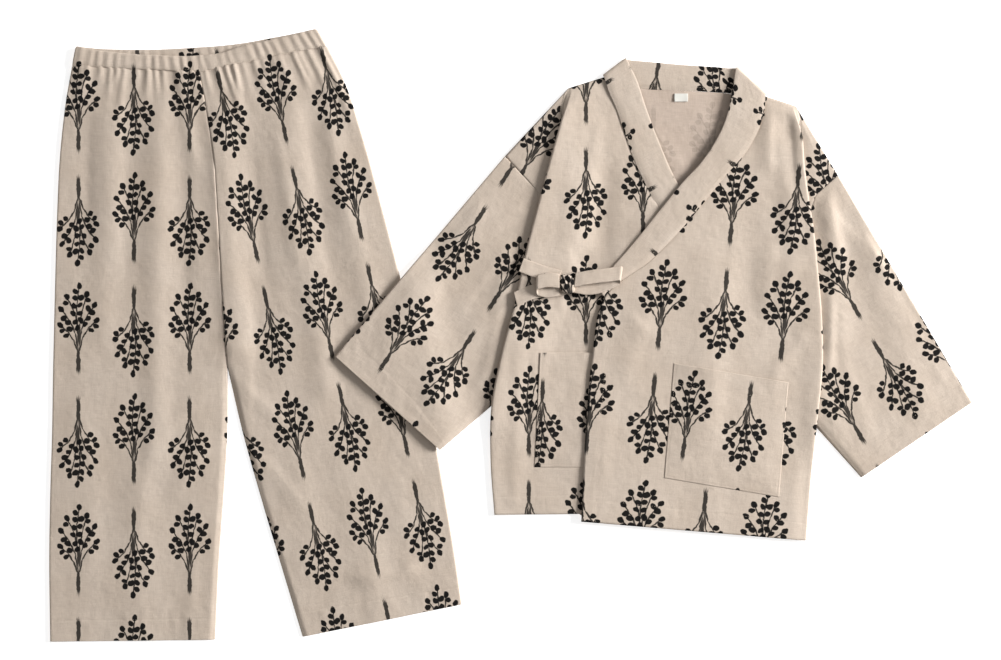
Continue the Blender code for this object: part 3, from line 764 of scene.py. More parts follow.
@dataclass(frozen=True)
class WovenTape:
    """A finely woven tape or thread of one colour, on the piece's own coordinates."""

    name: str
    colour: tuple[float, float, float]
    roughness: float = 0.7
    rib: float = 0.5

    def material(self) -> bpy.types.Material:
        """Builds the material, with fine ribs in its bump and painted shade in the ribs' low places in its
        colour.

        Returns:
            The material.
        """
        material = new_material(self.name, {"Roughness": self.roughness})
        n = Nodes(material.node_tree)
        shader = n.tree.nodes["Principled BSDF"]
        ribs = n.node("ShaderNodeTexWave", n.node("ShaderNodeTexCoord").outputs["Object"])
        ribs.inputs["Scale"].default_value = 1 / (self.rib * MM) / 6.28
        ribs.inputs["Distortion"].default_value = 1.5
        # Painted shade: the ribs' low places, where the bump is low, are darker
        ramp = n.node("ShaderNodeValToRGB", ribs.outputs["Fac"])
        ramp.color_ramp.elements[0].color = (*(c * 0.86 for c in self.colour), 1)
        ramp.color_ramp.elements[1].color = (*self.colour, 1)
        n.put(ramp.outputs["Color"], shader.inputs["Base Color"])
        bump = n.node("ShaderNodeBump")
        bump.inputs["Distance"].default_value = 0.08 * MM
        n.put(ribs.outputs["Fac"], bump.inputs["Height"])
        n.put(bump.outputs[0], shader.inputs["Normal"])
        return material


class Workroom:
    """Makes pieces of cloth from grids of places, dresses them and logs their sizes."""

    def __init__(self) -> None:
        """Builds the shared groups and materials."""
        sprig, weave = SprigPrint().group(), PlainWeave().group()
        cotton = PrintedCotton()
        self.sides = [cotton.material(layer, sprig, weave) for layer in Layer]
        self.tape = WovenTape("label_weave", (0.74, 0.72, 0.66)).material()
        self.thread = WovenTape("sewing_thread", (0.56, 0.46, 0.37), 0.6, 0.3).material()

    def mesh_object(self, name: str, places: Array, faces: list, uv: Optional[Array]) -> bpy.types.Object:
        """Makes a smooth mesh.

        Args:
            name: the piece's name.
            places: corner places in metres, one for each vertex.
            faces: vertex numbers of each face.
            uv: the print's coordinates of each vertex, if it has the print.

        Returns:
            The object.
        """
        mesh = bpy.data.meshes.new(name)
        mesh.from_pydata(places.tolist(), [], faces)
        if uv is not None:
            lay_print(mesh, uv)
        mesh.shade_smooth()
        mesh.validate()
        obj = bpy.data.objects.new(f"cloth_{name}", mesh)
        bpy.context.scene.collection.objects.link(obj)
        return obj

    def grid_object(
        self,
        name: str,
        plan: Plan,
        grid: Array,
        uv: Array,
        keep: Optional[Array] = None,
        around: bool = False,
        ring: bool = False,
    ) -> bpy.types.Object:
        """Makes a surface from rows of places, its right side up where its first face is on top.

        Args:
            name: the piece's name.
            plan: the garment's plan.
            grid: rows and columns of (x, down, height).
            uv: rows and columns of the print's coordinates.
            keep: which faces stay, by row and column.
            around: whether the last column joins the first one.
            ring: whether the last row joins the first one.

        Returns:
            The object.
        """
        rows, columns = grid.shape[:2]
        number = np.arange(rows * columns).reshape(rows, columns)
        if around:
            number = np.hstack([number, number[:, :1]])
        if ring:
            number = np.vstack([number, number[:1]])
        faces = np.stack([number[:-1, :-1], number[1:, :-1], number[1:, 1:], number[:-1, 1:]], -1)
        places = plan.place(grid).reshape(-1, 3)
        a, b, c = (places[faces[0, 0, k]] for k in (0, 1, 3))
        if np.cross(b - a, c - a)[2] < 0:
            faces = faces[..., ::-1]
        faces = faces.reshape(-1, 4) if keep is None else faces[keep]
        used = np.unique(faces)
        order = np.full(rows * columns, -1)
        order[used] = np.arange(len(used))
        return self.mesh_object(name, places[used], order[faces].tolist(), uv.reshape(-1, 2)[used])

    def thicken(self, obj: bpy.types.Object, wall: float) -> None:
        """Gives a surface its wall, the same on both sides, with the wrong side inside.

        Args:
            obj: the surface.
            wall: how thick it becomes, in millimetres.
        """
        for material in self.sides:
            obj.data.materials.append(material)
        thick = obj.modifiers.new("Wall", "SOLIDIFY")
        thick.thickness = wall * MM
        thick.offset = 0
        thick.material_offset = Layer.WRONG_SIDE.value
        thick.use_quality_normals = True
        pick(obj)
        bpy.ops.object.modifier_apply(modifier=thick.name)
        obj.select_set(False)

    def tube(self, name: str, plan: Plan, grid: Array, uv: Array) -> bpy.types.Object:
        """Makes a doubled strip, a flat tube with a face at each end, and dresses it.

        Args:
            name: the piece's name, which is its node's too.
            plan: the garment's plan.
            grid: rows of (x, down, height), each all round the tube.
            uv: rows and columns of the print's coordinates.

        Returns:
            The object.
        """
        obj = self.grid_object(name, plan, grid, uv, around=True)
        pick(obj)
        bpy.ops.object.mode_set(mode="EDIT")
        bpy.ops.mesh.select_all(action="SELECT")
        bpy.ops.mesh.fill_holes(sides=0)
        bpy.ops.mesh.select_all(action="SELECT")
        bpy.ops.mesh.normals_make_consistent(inside=False)
        bpy.ops.object.mode_set(mode="OBJECT")
        obj.select_set(False)
        obj.data.materials.append(self.sides[Layer.RIGHT_SIDE.value])
        self.dress(obj, (name,))
        return obj

    def dress(self, obj: bpy.types.Object, nodes: Sequence[str]) -> None:
        """Hides the parts that a piece stands for and attaches it to the root body.

        Args:
            obj: the piece.
            nodes: the nodes that it replaces, if any.
        """
        if nodes:
            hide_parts(*nodes)
        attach(obj, "root")

    def declare(
        self,
        obj: bpy.types.Object,
        grid: Array,
    ) -> None:
        """Works out the size that a sheet's grid has when it is laid out flat, and logs it.

        Args:
            obj: the sheet.
            grid: its places, all round where it is a tube.
        """
        along = np.linalg.norm(np.diff(grid, axis=0), axis=-1)
        across = np.linalg.norm(np.diff(grid, axis=1), axis=-1)
        width, length = across.sum(1).max() * MM, along.sum(0).max() * MM
        side_a = grid[1:, :-1] - grid[:-1, :-1]
        side_b = grid[:-1, 1:] - grid[:-1, :-1]
        area = np.linalg.norm(np.cross(side_a, side_b), axis=-1).sum() * MM**2
        area = float(np.clip(area, 0.3 * width * length, width * length))
        LOG.info("%s: cut %.0f by %.0f mm, %.4f square metres", obj.name, width / MM, length / MM, area)

    def stitches(self, name: str, plan: Plan, runs: Sequence[Array]) -> bpy.types.Object:
        """Sews runs of straight stitches, each a small spindle half sunk in the cloth.

        Args:
            name: the piece's name.
            plan: the garment's plan.
            runs: for each run its places (x, down, height) on top of the cloth.

        Returns:
            The joined mesh.
        """
        places, faces = [], []
        for run in runs:
            run = plan.place(np.asarray(run, float)) / MM
            reach = running_length(run)
            for start in np.arange(STITCH_PITCH / 2, reach[-1] - STITCH_LENGTH, STITCH_PITCH):
                first, last = (
                    np.array([np.interp(s, reach, run[:, k]) for k in range(3)])
                    for s in (start, start + STITCH_LENGTH)
                )
                along = (last - first) / (np.linalg.norm(last - first) + 1e-9)
                side = np.cross(along, (0, 0, 1.0))
                up = np.cross(side, along)
                base = len(places)
                places.append(first - up * THREAD_RADIUS)
                for share in (0.25, 0.75):
                    middle = first + (last - first) * share
                    for k in range(THREAD_SIDES):
                        a = 2 * math.pi * k / THREAD_SIDES
                        places.append(middle + THREAD_RADIUS * (side * math.cos(a) + up * math.sin(a)))
                places.append(last - up * THREAD_RADIUS)
                lower, upper, tip = base + 1, base + 1 + THREAD_SIDES, base + 1 + 2 * THREAD_SIDES
                for k in range(THREAD_SIDES):
                    n = (k + 1) % THREAD_SIDES
                    faces.append((base, lower + n, lower + k))
                    faces.append((lower + k, lower + n, upper + n, upper + k))
                    faces.append((tip, upper + k, upper + n))
        obj = self.mesh_object(name, np.array(places) * MM, faces, None)
        obj.data.materials.append(self.thread)
        self.dress(obj, ())
        return obj


# Trousers

@dataclass(frozen=True)
class Row:
    """One row of a panel: its inner edge, such as a centre or band seam, and its outer edge."""

    inner_x: float
    inner_down: float
    outer_x: float
    outer_down: float


RIGHT_LEG = (
    Row(0, 1, -134, -5),
    Row(7, 40, -141, 35),
    Row(15, 90, -147, 92),
    Row(19, 150, -150, 158),
    Row(23, 218, -152, 229),
    Row(29, 309, -154, 315),
    Row(29, 376, -155, 378),
    Row(25, 444, -157, 446),
    Row(20, 512, -158, 515),
    Row(16, 596, -157, 598),
)
LEFT_LEG = (
    Row(0, 1, 134, -26),
    Row(7, 40, 154, 16),
    Row(15, 90, 172, 72),
    Row(19, 150, 190, 138),
    Row(23, 218, 210, 215),
    Row(29, 309, 231, 308),
    Row(45, 378, 244, 371),
    Row(64, 446, 255, 433),
    Row(83, 510, 266, 497),
    Row(108, 593, 275, 559),
)
TROUSER_RIDGES = (
    Ridge(-95, 50, -100, 270, 15, 1.7),
    Ridge(-42, 50, -47, 400, 14, 2.1),
    Ridge(24, 50, 40, 290, 13, 2.0),
    Ridge(92, 50, 132, 330, 15, 2.1),
    Ridge(140, 60, 178, 250, 13, 1.7),
    Ridge(-60, 430, -64, 590, 20, 1.2),
    Ridge(150, 400, 190, 570, 20, 1.2),
)
RIGHT_LEG_LAY = PrintLay(-127, 37, 0, 0.955)
LEFT_LEG_LAY = PrintLay(82, 29, 12, 0.915)


@dataclass
class TrouserLeg:
    """One leg, cut in one piece from the centre front round the side to the centre back."""

    name: str
    sections: tuple[Row, ...]
    lay: PrintLay
    creases: tuple[Crease, ...]
    seed: int
    crotch: int = 5
    gathers: int = 13
    gather_height: float = 1.8
    gather_depth: float = 44.0
    waist_lift: float = 2.1
    waist_lift_down: float = 45.0
    edge_run: float = 16.0
    inseam_run: float = 6.0
    hem_depth: float = 22.0
    tuck: float = 0.15
    seam_ridge: float = 1.6
    seam_overlap: float = 1.6
    back_columns: int = 16
    turn_steps: int = 8

    def edges(self, at: Array) -> tuple[Array, Array]:
        """Reads the leg's inner and outer edges. The crotch is a corner of the inner one.

        Args:
            at: row numbers.

        Returns:
            The inner and the outer places.
        """
        inner = [(s.inner_x, s.inner_down) for s in self.sections]
        outer = [(s.outer_x, s.outer_down) for s in self.sections]
        upper = curve_at(inner[: self.crotch + 1], np.minimum(at, self.crotch))
        lower = curve_at(inner[self.crotch :], np.maximum(at - self.crotch, 0))
        return np.where((at <= self.crotch)[:, None], upper, lower), curve_at(outer, at)

    def row_numbers(self) -> tuple[Array, Array]:
        """Sets out the rows, closer at the gathers and the hem.

        Returns:
            The row numbers, and how far each is above the hem.
        """
        fine = np.linspace(0, len(self.sections) - 1, 1200)
        inner, outer = self.edges(fine)
        reach = running_length((inner + outer) / 2)
        hem = reach[-1] - self.hem_depth
        stops = ((60, 1.8), (hem - 4, 3.2), (hem + 4, 0.8), (reach[-1] - 3, 2.6), (reach[-1], 1.0))
        places = spaced(stops)
        return np.interp(places, reach, fine), reach[-1] - places

    def gathered(self, share: Array, down: Array, seed: int) -> Array:
        """Works out the gathers below the waist seam, each of its own height and length.

        Args:
            share: how far across the leg each place is, 0 to 1.
            down: how far below the waist seam it is.
            seed: which gathers.

        Returns:
            Heights of the gathers.
        """
        rng = np.random.default_rng(seed)
        total = np.zeros(np.broadcast(share, down).shape)
        for k in range(self.gathers):
            middle = (k + 0.5 + rng.uniform(-0.33, 0.33)) / self.gathers
            drift = rng.uniform(-0.5, 0.5) / self.gathers
            depth = self.gather_depth * rng.choice((0.45, 0.7, 1.1, 1.9))
            height = self.gather_height * rng.uniform(0.45, 1.25)
            width = rng.uniform(0.22, 0.36) / self.gathers * (1 + 1.1 * np.clip(down / depth, 0, 1))
            fade = (1 - ease(down / depth)) ** 1.1
            away = share - middle - drift * down / self.gather_depth
            total += height * fade * np.exp(-((away / width) ** 2))
        return total - self.gather_height * 0.45 * (1 - ease(down / self.gather_depth))

    def front(self, x: Array, down: Array) -> Array:
        """Works out the middle of the front's cloth above the surface, away from its edges.

        Args:
            x: places across.
            down: places down.

        Returns:
            Heights.
        """
        lift = self.waist_lift * (1 - ease((down + 5) / self.waist_lift_down))
        waves = 0.6 * soft_noise(x, down * 0.4, 30, self.seed) + 0.18 * soft_noise(x, down, 13, self.seed + 1)
        return TROUSER_FRONT_LEVEL + lift + relief(TROUSER_RIDGES + self.creases, x, down) + waves

    def build(self, room: Workroom) -> bpy.types.Object:
        """Builds the leg with its hem and its stitches.

        Args:
            room: the workroom.

        Returns:
            The sheet.
        """
        at, above_hem = self.row_numbers()
        inner, outer = self.edges(at)
        across, length = ways_across(inner, outer)
        waist = 1 - ease((inner[:, 1] + 5) / self.waist_lift_down)
        edge_level = (TROUSER_FRONT_LEVEL + self.waist_lift * waist)[:, None]
        radius = (edge_level - FLOOR_LEVEL) / 2
        stop = length - HALF - radius
        share = spaced(((0.09, 0.009), (0.91, 0.0103), (1, 0.0075)))[None]
        along = share * stop
        place = inner[:, None] + across * along[..., None]
        place[0, :, 1] -= self.seam_overlap
        x, down = place[..., 0], place[..., 1]
        below = down - self.sections[0].inner_down
        height = edge_level + (self.front(x, down) - edge_level) * ease((length - along) / self.edge_run)
        height = height + self.gathered(share, np.maximum(below, 0), self.seed) * ease(along / 5)
        height = height - self.tuck * groove(below, 2.6)
        closing = ease((at - self.crotch) / 0.8 + 0.5)[:, None]
        seam_height = 1.4 + (height - 1.4) * ease(along / self.inseam_run)
        height = height + (seam_height - height) * closing
        standing = ease((below - 25) / 60) * (1 - closing)
        height = height + self.seam_ridge * standing * np.exp(-along / 9)
        height = height - 0.45 * groove(along, 1.2) * (1 - closing)
        hem = above_hem[:, None]
        height = height + hem_step(hem, self.hem_depth, 0.08, 0.12)
        pucker = soft_noise(x, down * 0.25, 6.5, self.seed + 2)
        height = height + 0.26 * pucker * groove(hem - self.hem_depth + 5, 14)
        front = np.dstack([place, height])
        angles = turn_angles(self.turn_steps)[None]
        inside = HALF + radius * (1 - np.sin(angles))
        round_place = inner[:, None] + across * (length - inside)[..., None]
        middle = (height[:, -1:] + FLOOR_LEVEL) / 2
        side = np.dstack([round_place, middle + (height[:, -1:] - FLOOR_LEVEL) / 2 * np.cos(angles)])
        back_along = stop * np.linspace(1, 0, self.back_columns + 1)[None]
        back_place = inner[:, None] + across * back_along[..., None]
        back = np.dstack([back_place, np.full(back_along.shape, FLOOR_LEVEL)])
        grid = np.concatenate([front, side, back], 1)
        over = stop + radius * math.pi
        unrolled = np.concatenate([along, stop + radius * angles, over + stop - back_along], 1)
        flat = inner[:, None] + across * unrolled[..., None]
        obj = room.grid_object(self.name, TROUSERS, grid, self.lay.uv(flat[..., 0], flat[..., 1]))
        room.thicken(obj, WALL)
        row = nearest(above_hem, self.hem_depth)
        line = front[row, 2:-2] + (0, 0, HALF)
        back_line = back[row, 1:-1] - (0, 0, HALF - 0.1)
        room.dress(obj, (self.name,))
        sewn = room.stitches(self.name + "_hem_stitches", TROUSERS, [line, back_line])
        room.declare(obj, grid)
        return obj


@dataclass
class WaistCasing:
    """The gathered casing that holds the elastic, a flattened ring whose top edge is open."""

    front_top: Points = (
        (-130, -26), (-109, -22), (-72, -18), (-27, -16), (-8, -16),
        (22, -19), (49, -27), (87, -35), (123, -44),
    )
    back_top: Points = (
        (-130, -26), (-100, -23.5), (-53, -23), (-16, -24.5), (37, -28.5), (87, -37), (123, -44),
    )
    front_level: float = 5.7
    back_level: float = 1.3
    thickness: float = 2.0
    gathers: int = 26
    wave: float = 0.42
    seam_dip: float = 0.5
    steps_per_gather: int = 8
    section_steps: int = 18
    turn_steps: int = 8
    seed: int = 31

    @staticmethod
    def top_edge(points: Points, share: Array) -> Array:
        """Finds places on a top edge, evenly spaced from side to side.

        Args:
            points: the edge's table.
            share: how far across each place is, 0 to 1.

        Returns:
            The places.
        """
        dense = curve_at(points, np.linspace(0, len(points) - 1, 400))
        x = dense[0, 0] + (dense[-1, 0] - dense[0, 0]) * share
        return np.stack([x, np.interp(x, dense[:, 0], dense[:, 1])], 1)

    def ring(self) -> tuple[Array, Array, Array, Array, Array]:
        """Works out the ring: front, turn, back and turn.

        Returns:
            Its lower places, its upper places, its heights, its gather numbers and the angles that
            it has turned through.
        """
        steps = self.gathers * self.steps_per_gather
        share = np.linspace(0, 1, steps + 1)
        corners = [
            (RIGHT_LEG[0].outer_x, RIGHT_LEG[0].outer_down),
            (RIGHT_LEG[0].inner_x, RIGHT_LEG[0].inner_down),
            (LEFT_LEG[0].outer_x, LEFT_LEG[0].outer_down),
        ]
        low = line_at(corners, 2 * share)
        front, back = (self.top_edge(points, share) for points in (self.front_top, self.back_top))
        radius = (self.front_level - self.back_level) / 2
        first = radius + 1.0
        span = low[-1, 0] - low[0, 0]
        squeeze = (span - 2 * first) / span

        def squeezed(places: Array) -> Array:
            """Returns the places with room left for the turns at both sides."""
            middle = (places[0] + places[-1]) / 2
            return np.stack([middle[0] + (places[:, 0] - middle[0]) * squeeze, places[:, 1]], 1)

        angles = turn_angles(self.turn_steps)
        number = share * self.gathers
        low, front, back = squeezed(low), squeezed(front), squeezed(back)
        turn_out = np.stack([radius * np.sin(angles), np.zeros(len(angles))], 1)
        turn_z = (self.front_level + self.back_level) / 2 + radius * np.cos(angles)
        lows = np.concatenate([low, low[-1] + turn_out, low[::-1], low[0] - turn_out[::-1]])
        tops = np.concatenate([front, front[-1] + turn_out, back[::-1], back[0] - turn_out[::-1]])
        level = np.concatenate([
            np.full(len(low), self.front_level), turn_z, np.full(len(low), self.back_level), turn_z[::-1],
        ])
        part = angles / math.pi
        numbers = np.concatenate([
            number, self.gathers + part, self.gathers + 1 + number, 2 * self.gathers + 1 + part,
        ])
        turned = np.concatenate([0 * number, angles, 0 * number + math.pi, math.pi + angles])
        return lows, tops, level, numbers, turned

    def build(self, room: Workroom) -> bpy.types.Object:
        """Builds the casing.

        Args:
            room: the workroom.

        Returns:
            The sheet.
        """
        lows, tops, level, numbers, turned = self.ring()
        rng = np.random.default_rng(self.seed)
        places = np.arange(2 * self.gathers + 4)
        strength = np.interp(numbers, places, rng.uniform(0.35, 1.35, len(places)))
        uneven = np.interp(numbers, places, places + rng.uniform(-0.22, 0.22, len(places)))
        wave = self.wave * strength * -np.cos(2 * math.pi * uneven)
        is_back = level < (self.front_level + self.back_level) / 2
        wave = np.where(is_back, 0.55 * (wave + self.wave), wave)
        phi = np.linspace(0, 2 * math.pi, self.section_steps + 1)[:-1]
        up = 0.5 - 0.5 * np.cos(phi)
        bulge = rounded(np.sin(phi), 0.55) * self.thickness / 2
        place = lows[None] + (tops - lows)[None] * up[:, None, None]
        soft = 0.35 + 0.65 * np.sin(math.pi * np.clip(up, 0.06, 1))
        height = level[None] + wave[None] * (0.55 + 0.45 * soft[:, None]) + bulge[:, None] * np.cos(turned)
        height = height - self.seam_dip * (1 - ease(up / 0.22))[:, None] * ~is_back
        height = np.maximum(height, 0.05)
        slant = 0.9 * np.sin(uneven * 1.7)
        x = place[..., 0] + slant[None] * (up[:, None] - 0.5) + bulge[:, None] * np.sin(turned)
        grid = np.dstack([x, place[..., 1], height])
        grid = np.concatenate([grid, grid[:1]], 0)
        flat = grid[..., 0], grid[..., 1]
        uv = np.where(grid[..., :1] > 0, LEFT_LEG_LAY.uv(*flat), RIGHT_LEG_LAY.uv(*flat))
        inner_face = np.concatenate([phi > math.pi, [False]])
        shift = np.where(inner_face[:, None], 21 * MM, 0.0) + np.where(is_back[None], 1 * MM, 0.0)
        uv = uv + np.stack([shift * -0.16, -shift], -1)
        rows, row_uv = grid[:-1].transpose(1, 0, 2), uv[:-1].transpose(1, 0, 2)
        obj = room.grid_object("waist_casing", TROUSERS, rows, row_uv, around=True, ring=True)
        obj.data.materials.append(room.sides[Layer.RIGHT_SIDE.value])
        room.dress(obj, ("waist_casing",))
        seam = grid[1, : self.gathers * self.steps_per_gather + 1]
        run = np.stack([seam[:, 0], seam[:, 1] - 1.6, seam[:, 2] + 0.5], 1)
        sewn = room.stitches("waist_casing_stitches", TROUSERS, [run[3:-3]])
        half = self.section_steps // 2
        outer = grid[: half + 1]
        room.declare(obj, outer.transpose(1, 0, 2))
        return obj


# Jacket

@dataclass(frozen=True)
class Fold:
    """The fold over a sleeve at one row: heights, how far the cloth is turned under, and if it is."""

    base: float
    edge: float
    under: float
    drop: float
    width: float
    folded: float


@dataclass(frozen=True)
class FrontShape:
    """A front's tables and the functions that read them."""

    rows: tuple[Row, ...]
    folds: tuple[Fold, ...]
    armhole: Points
    back_rows: tuple[float, ...]
    creases: tuple[Crease, ...]
    lay: PrintLay
    drop_lay: PrintLay
    seed: int
    drop_rows: int = 5
    flat_start: float = 2.6
    flat_end: float = -2.4
    shoulder_run: float = 40.0
    edge_run: float = 14.0
    fold_lift: float = 1.6
    drop_rise: float = 0.0
    rise_run: float = 14.0
    slope_width: float = 42.0

    def edges(self, at: Array | float) -> tuple[Array, Array]:
        """Returns the inner and the outer places at row numbers."""
        inner = curve_at([(r.inner_x, r.inner_down) for r in self.rows], at)
        return inner, curve_at([(r.outer_x, r.outer_down) for r in self.rows], at)

    def fold_at(self, at: Array | float) -> Array:
        """Returns the fold's six values at row numbers, as columns of the last axis."""
        table = [(f.base, f.edge, f.under, f.drop, f.width, f.folded) for f in self.folds]
        return line_at(table, at)

    def height(self, fold: Array, x: Array, down: Array, inside: Array) -> Array:
        """Works out the middle of the front above the surface.

        Args:
            fold: the fold's values at each place.
            x: places across.
            down: places down.
            inside: how far inside the fold or side edge each place is.

        Returns:
            Heights.
        """
        base, edge, under, width = fold[..., 0], fold[..., 1], fold[..., 2], fold[..., 4]
        lift = self.fold_lift * fold[..., 5] * ease((edge - 5) / 1.5)
        step = np.maximum(np.minimum(edge, under + 1.2), base)
        folds = relief(JACKET_RIDGES, x, down) * ease(down / self.shoulder_run)
        fine = relief(self.creases, x, down) + 0.34 * soft_noise(x, down, 36, self.seed)
        fine = fine + 0.14 * soft_noise(x, down, 12, self.seed + 1)
        near_top = ease((down + 10) / 30)
        level = base + (step - base) * (1 - ease((inside - width - 2) / self.slope_width))
        level = level + (edge + lift - step) * (1 - ease(inside / (width + 14)))
        return level + (folds + fine * near_top) * ease(inside / self.edge_run)


RIGHT_FRONT = (
    Row(-83, -13, -118, -2),
    Row(-77, 5, -123, 15),
    Row(-69, 23, -129, 36),
    Row(-55, 65, -141, 79),
    Row(-33, 112, -153, 124),
    Row(-3, 161, -165, 170),
    Row(30, 200, -177, 226),
    Row(72, 226, -190, 275),
    Row(92, 284, -201, 331),
    Row(102, 368, -202, 389),
    Row(107, 443, -198, 446),
)
LEFT_FRONT = (
    Row(86, 7, 116, 17),
    Row(85, 22, 120, 29),
    Row(78, 44, 125, 50),
    Row(64, 68, 127, 79),
    Row(43, 92, 131, 110),
    Row(19, 122, 137, 149),
    Row(-7, 152, 141, 189),
    Row(-35, 180, 145, 236),
    Row(-83, 219, 146, 289),
    Row(-96, 284, 140, 352),
    Row(-103, 368, 134, 410),
    Row(-107, 453, 129, 473),
)
RIGHT_FOLD = (
    Fold(2.4, 2.2, 2.2, 2.2, 0, 0),
    Fold(2.9, 6.4, 4.7, 3.0, 0, 0),
    Fold(3.1, 7.2, 5.6, 3.0, 6, 1),
    Fold(3.1, 7.4, 5.9, 3.0, 18, 1),
    Fold(3.1, 7.4, 5.9, 3.0, 26, 1),
    Fold(3.1, 7.4, 5.9, 3.0, 30, 1),
    Fold(3.1, 7.4, 5.9, 3.0, 28, 1),
    Fold(3.1, 7.4, 5.9, 3.0, 20, 1),
    Fold(3.1, 6.8, 5.2, 3.0, 8, 1),
    Fold(3.1, 4.3, SEAM_LEVEL, 2.2, 4, 1),
    Fold(3.1, 4.2, SEAM_LEVEL, 2.2, 4, 1),
)
LEFT_FOLD = (
    Fold(2.6, 2.2, 2.2, 2.2, 0, 0),
    Fold(3.6, 6.4, 4.7, 3.0, 0, 0),
    Fold(4.8, 6.8, 4.9, 3.0, 6, 1),
    Fold(5.8, 7.0, 5.0, 3.0, 12, 1),
    Fold(6.2, 7.0, 5.0, 3.0, 18, 1),
    Fold(6.4, 7.0, 5.0, 3.0, 24, 1),
    Fold(6.4, 7.0, 5.0, 3.0, 28, 1),
    Fold(6.4, 7.0, 5.0, 3.0, 26, 1),
    Fold(6.4, 7.0, 5.0, 3.0, 18, 1),
    Fold(6.4, 6.8, 4.9, 3.0, 8, 1),
    Fold(6.4, 4.6, SEAM_LEVEL, 2.2, 4, 1),
    Fold(6.2, 4.4, SEAM_LEVEL, 2.2, 4, 1),
)
JACKET_RIDGES = (
    Ridge(-95, 40, -112, 150, 15, 1.6),
    Ridge(-170, 270, -178, 430, 9, 0.9),
    Ridge(106, 60, 112, 150, 10, 1.6),
    Ridge(30, 190, 14, 350, 20, 1.2),
    Ridge(124, 262, 96, 296, 9, 1.2),
)
RIGHT_SHAPE = FrontShape(
    rows=RIGHT_FRONT,
    folds=RIGHT_FOLD,
    armhole=((-187, 70), (-152, 108), (-150, 165), (-172, 307)),
    back_rows=(4.6, 5.6, 6.8, 8),
    creases=(
        Crease(4, 118, -86, 232, 25, 3.0, 0, 0.0),
        Crease(-92, 18, -108, 120, 8, -1.0, 3, 0.2),
        Crease(-128, 150, -70, 262, 9, 1.0, 8, 0.3),
        Crease(-76, 60, -84, 190, 13, -1.6, 3, 0.2),
        Crease(-150, 250, -150, 400, 10, 1.1, 4, -0.3),
        Crease(-60, 160, -96, 222, 8, 0.8, -5, 0.3),
        Crease(-115, 290, -104, 440, 12, 0.7, -5, 0.2),
        Crease(-122, 196, -128, 240, 5, 0.7, 2, 0.3),
    ),
    lay=PrintLay(-102, 221, 0, 0.98),
    drop_lay=PrintLay(-152, 58, -30),
    seed=11,
)
LEFT_SHAPE = FrontShape(
    rows=LEFT_FRONT,
    folds=LEFT_FOLD,
    armhole=((162.5, 90), (139, 111), (124, 160), (118, 330)),
    back_rows=(4.9, 6.2, 7.6, 9),
    creases=(
        Crease(92, 12, 90, 96, 9, 2.0, 2, 0.2),
        Crease(112, 10, 118, 120, 8, -1.8, 2, 0.2),
        Crease(112, 160, 98, 250, 15, 1.7, -4, 0.2),
        Crease(66, 120, 78, 262, 20, -1.6, 6, 0.1),
        Crease(30, 250, 24, 400, 16, 1.1, -5, 0.2),
        Crease(-20, 205, -62, 330, 13, 0.9, 10, 0.25),
        Crease(60, 130, 20, 250, 12, 0.8, -9, -0.25),
        Crease(100, 150, 88, 250, 10, 0.9, 7, 0.3),
        Crease(-70, 300, -84, 440, 11, 0.7, 6, 0.3),
        Crease(30, 400, 22, 465, 13, 0.7, 2, -0.2),
        Crease(-64, 226, -20, 262, 7, 0.8, 5, 0.3),
    ),
    lay=PrintLay(53, 116, -5.5, 1.06),
    drop_lay=PrintLay(152, 102, 14),
    seed=17,
    drop_rise=-0.9,
)


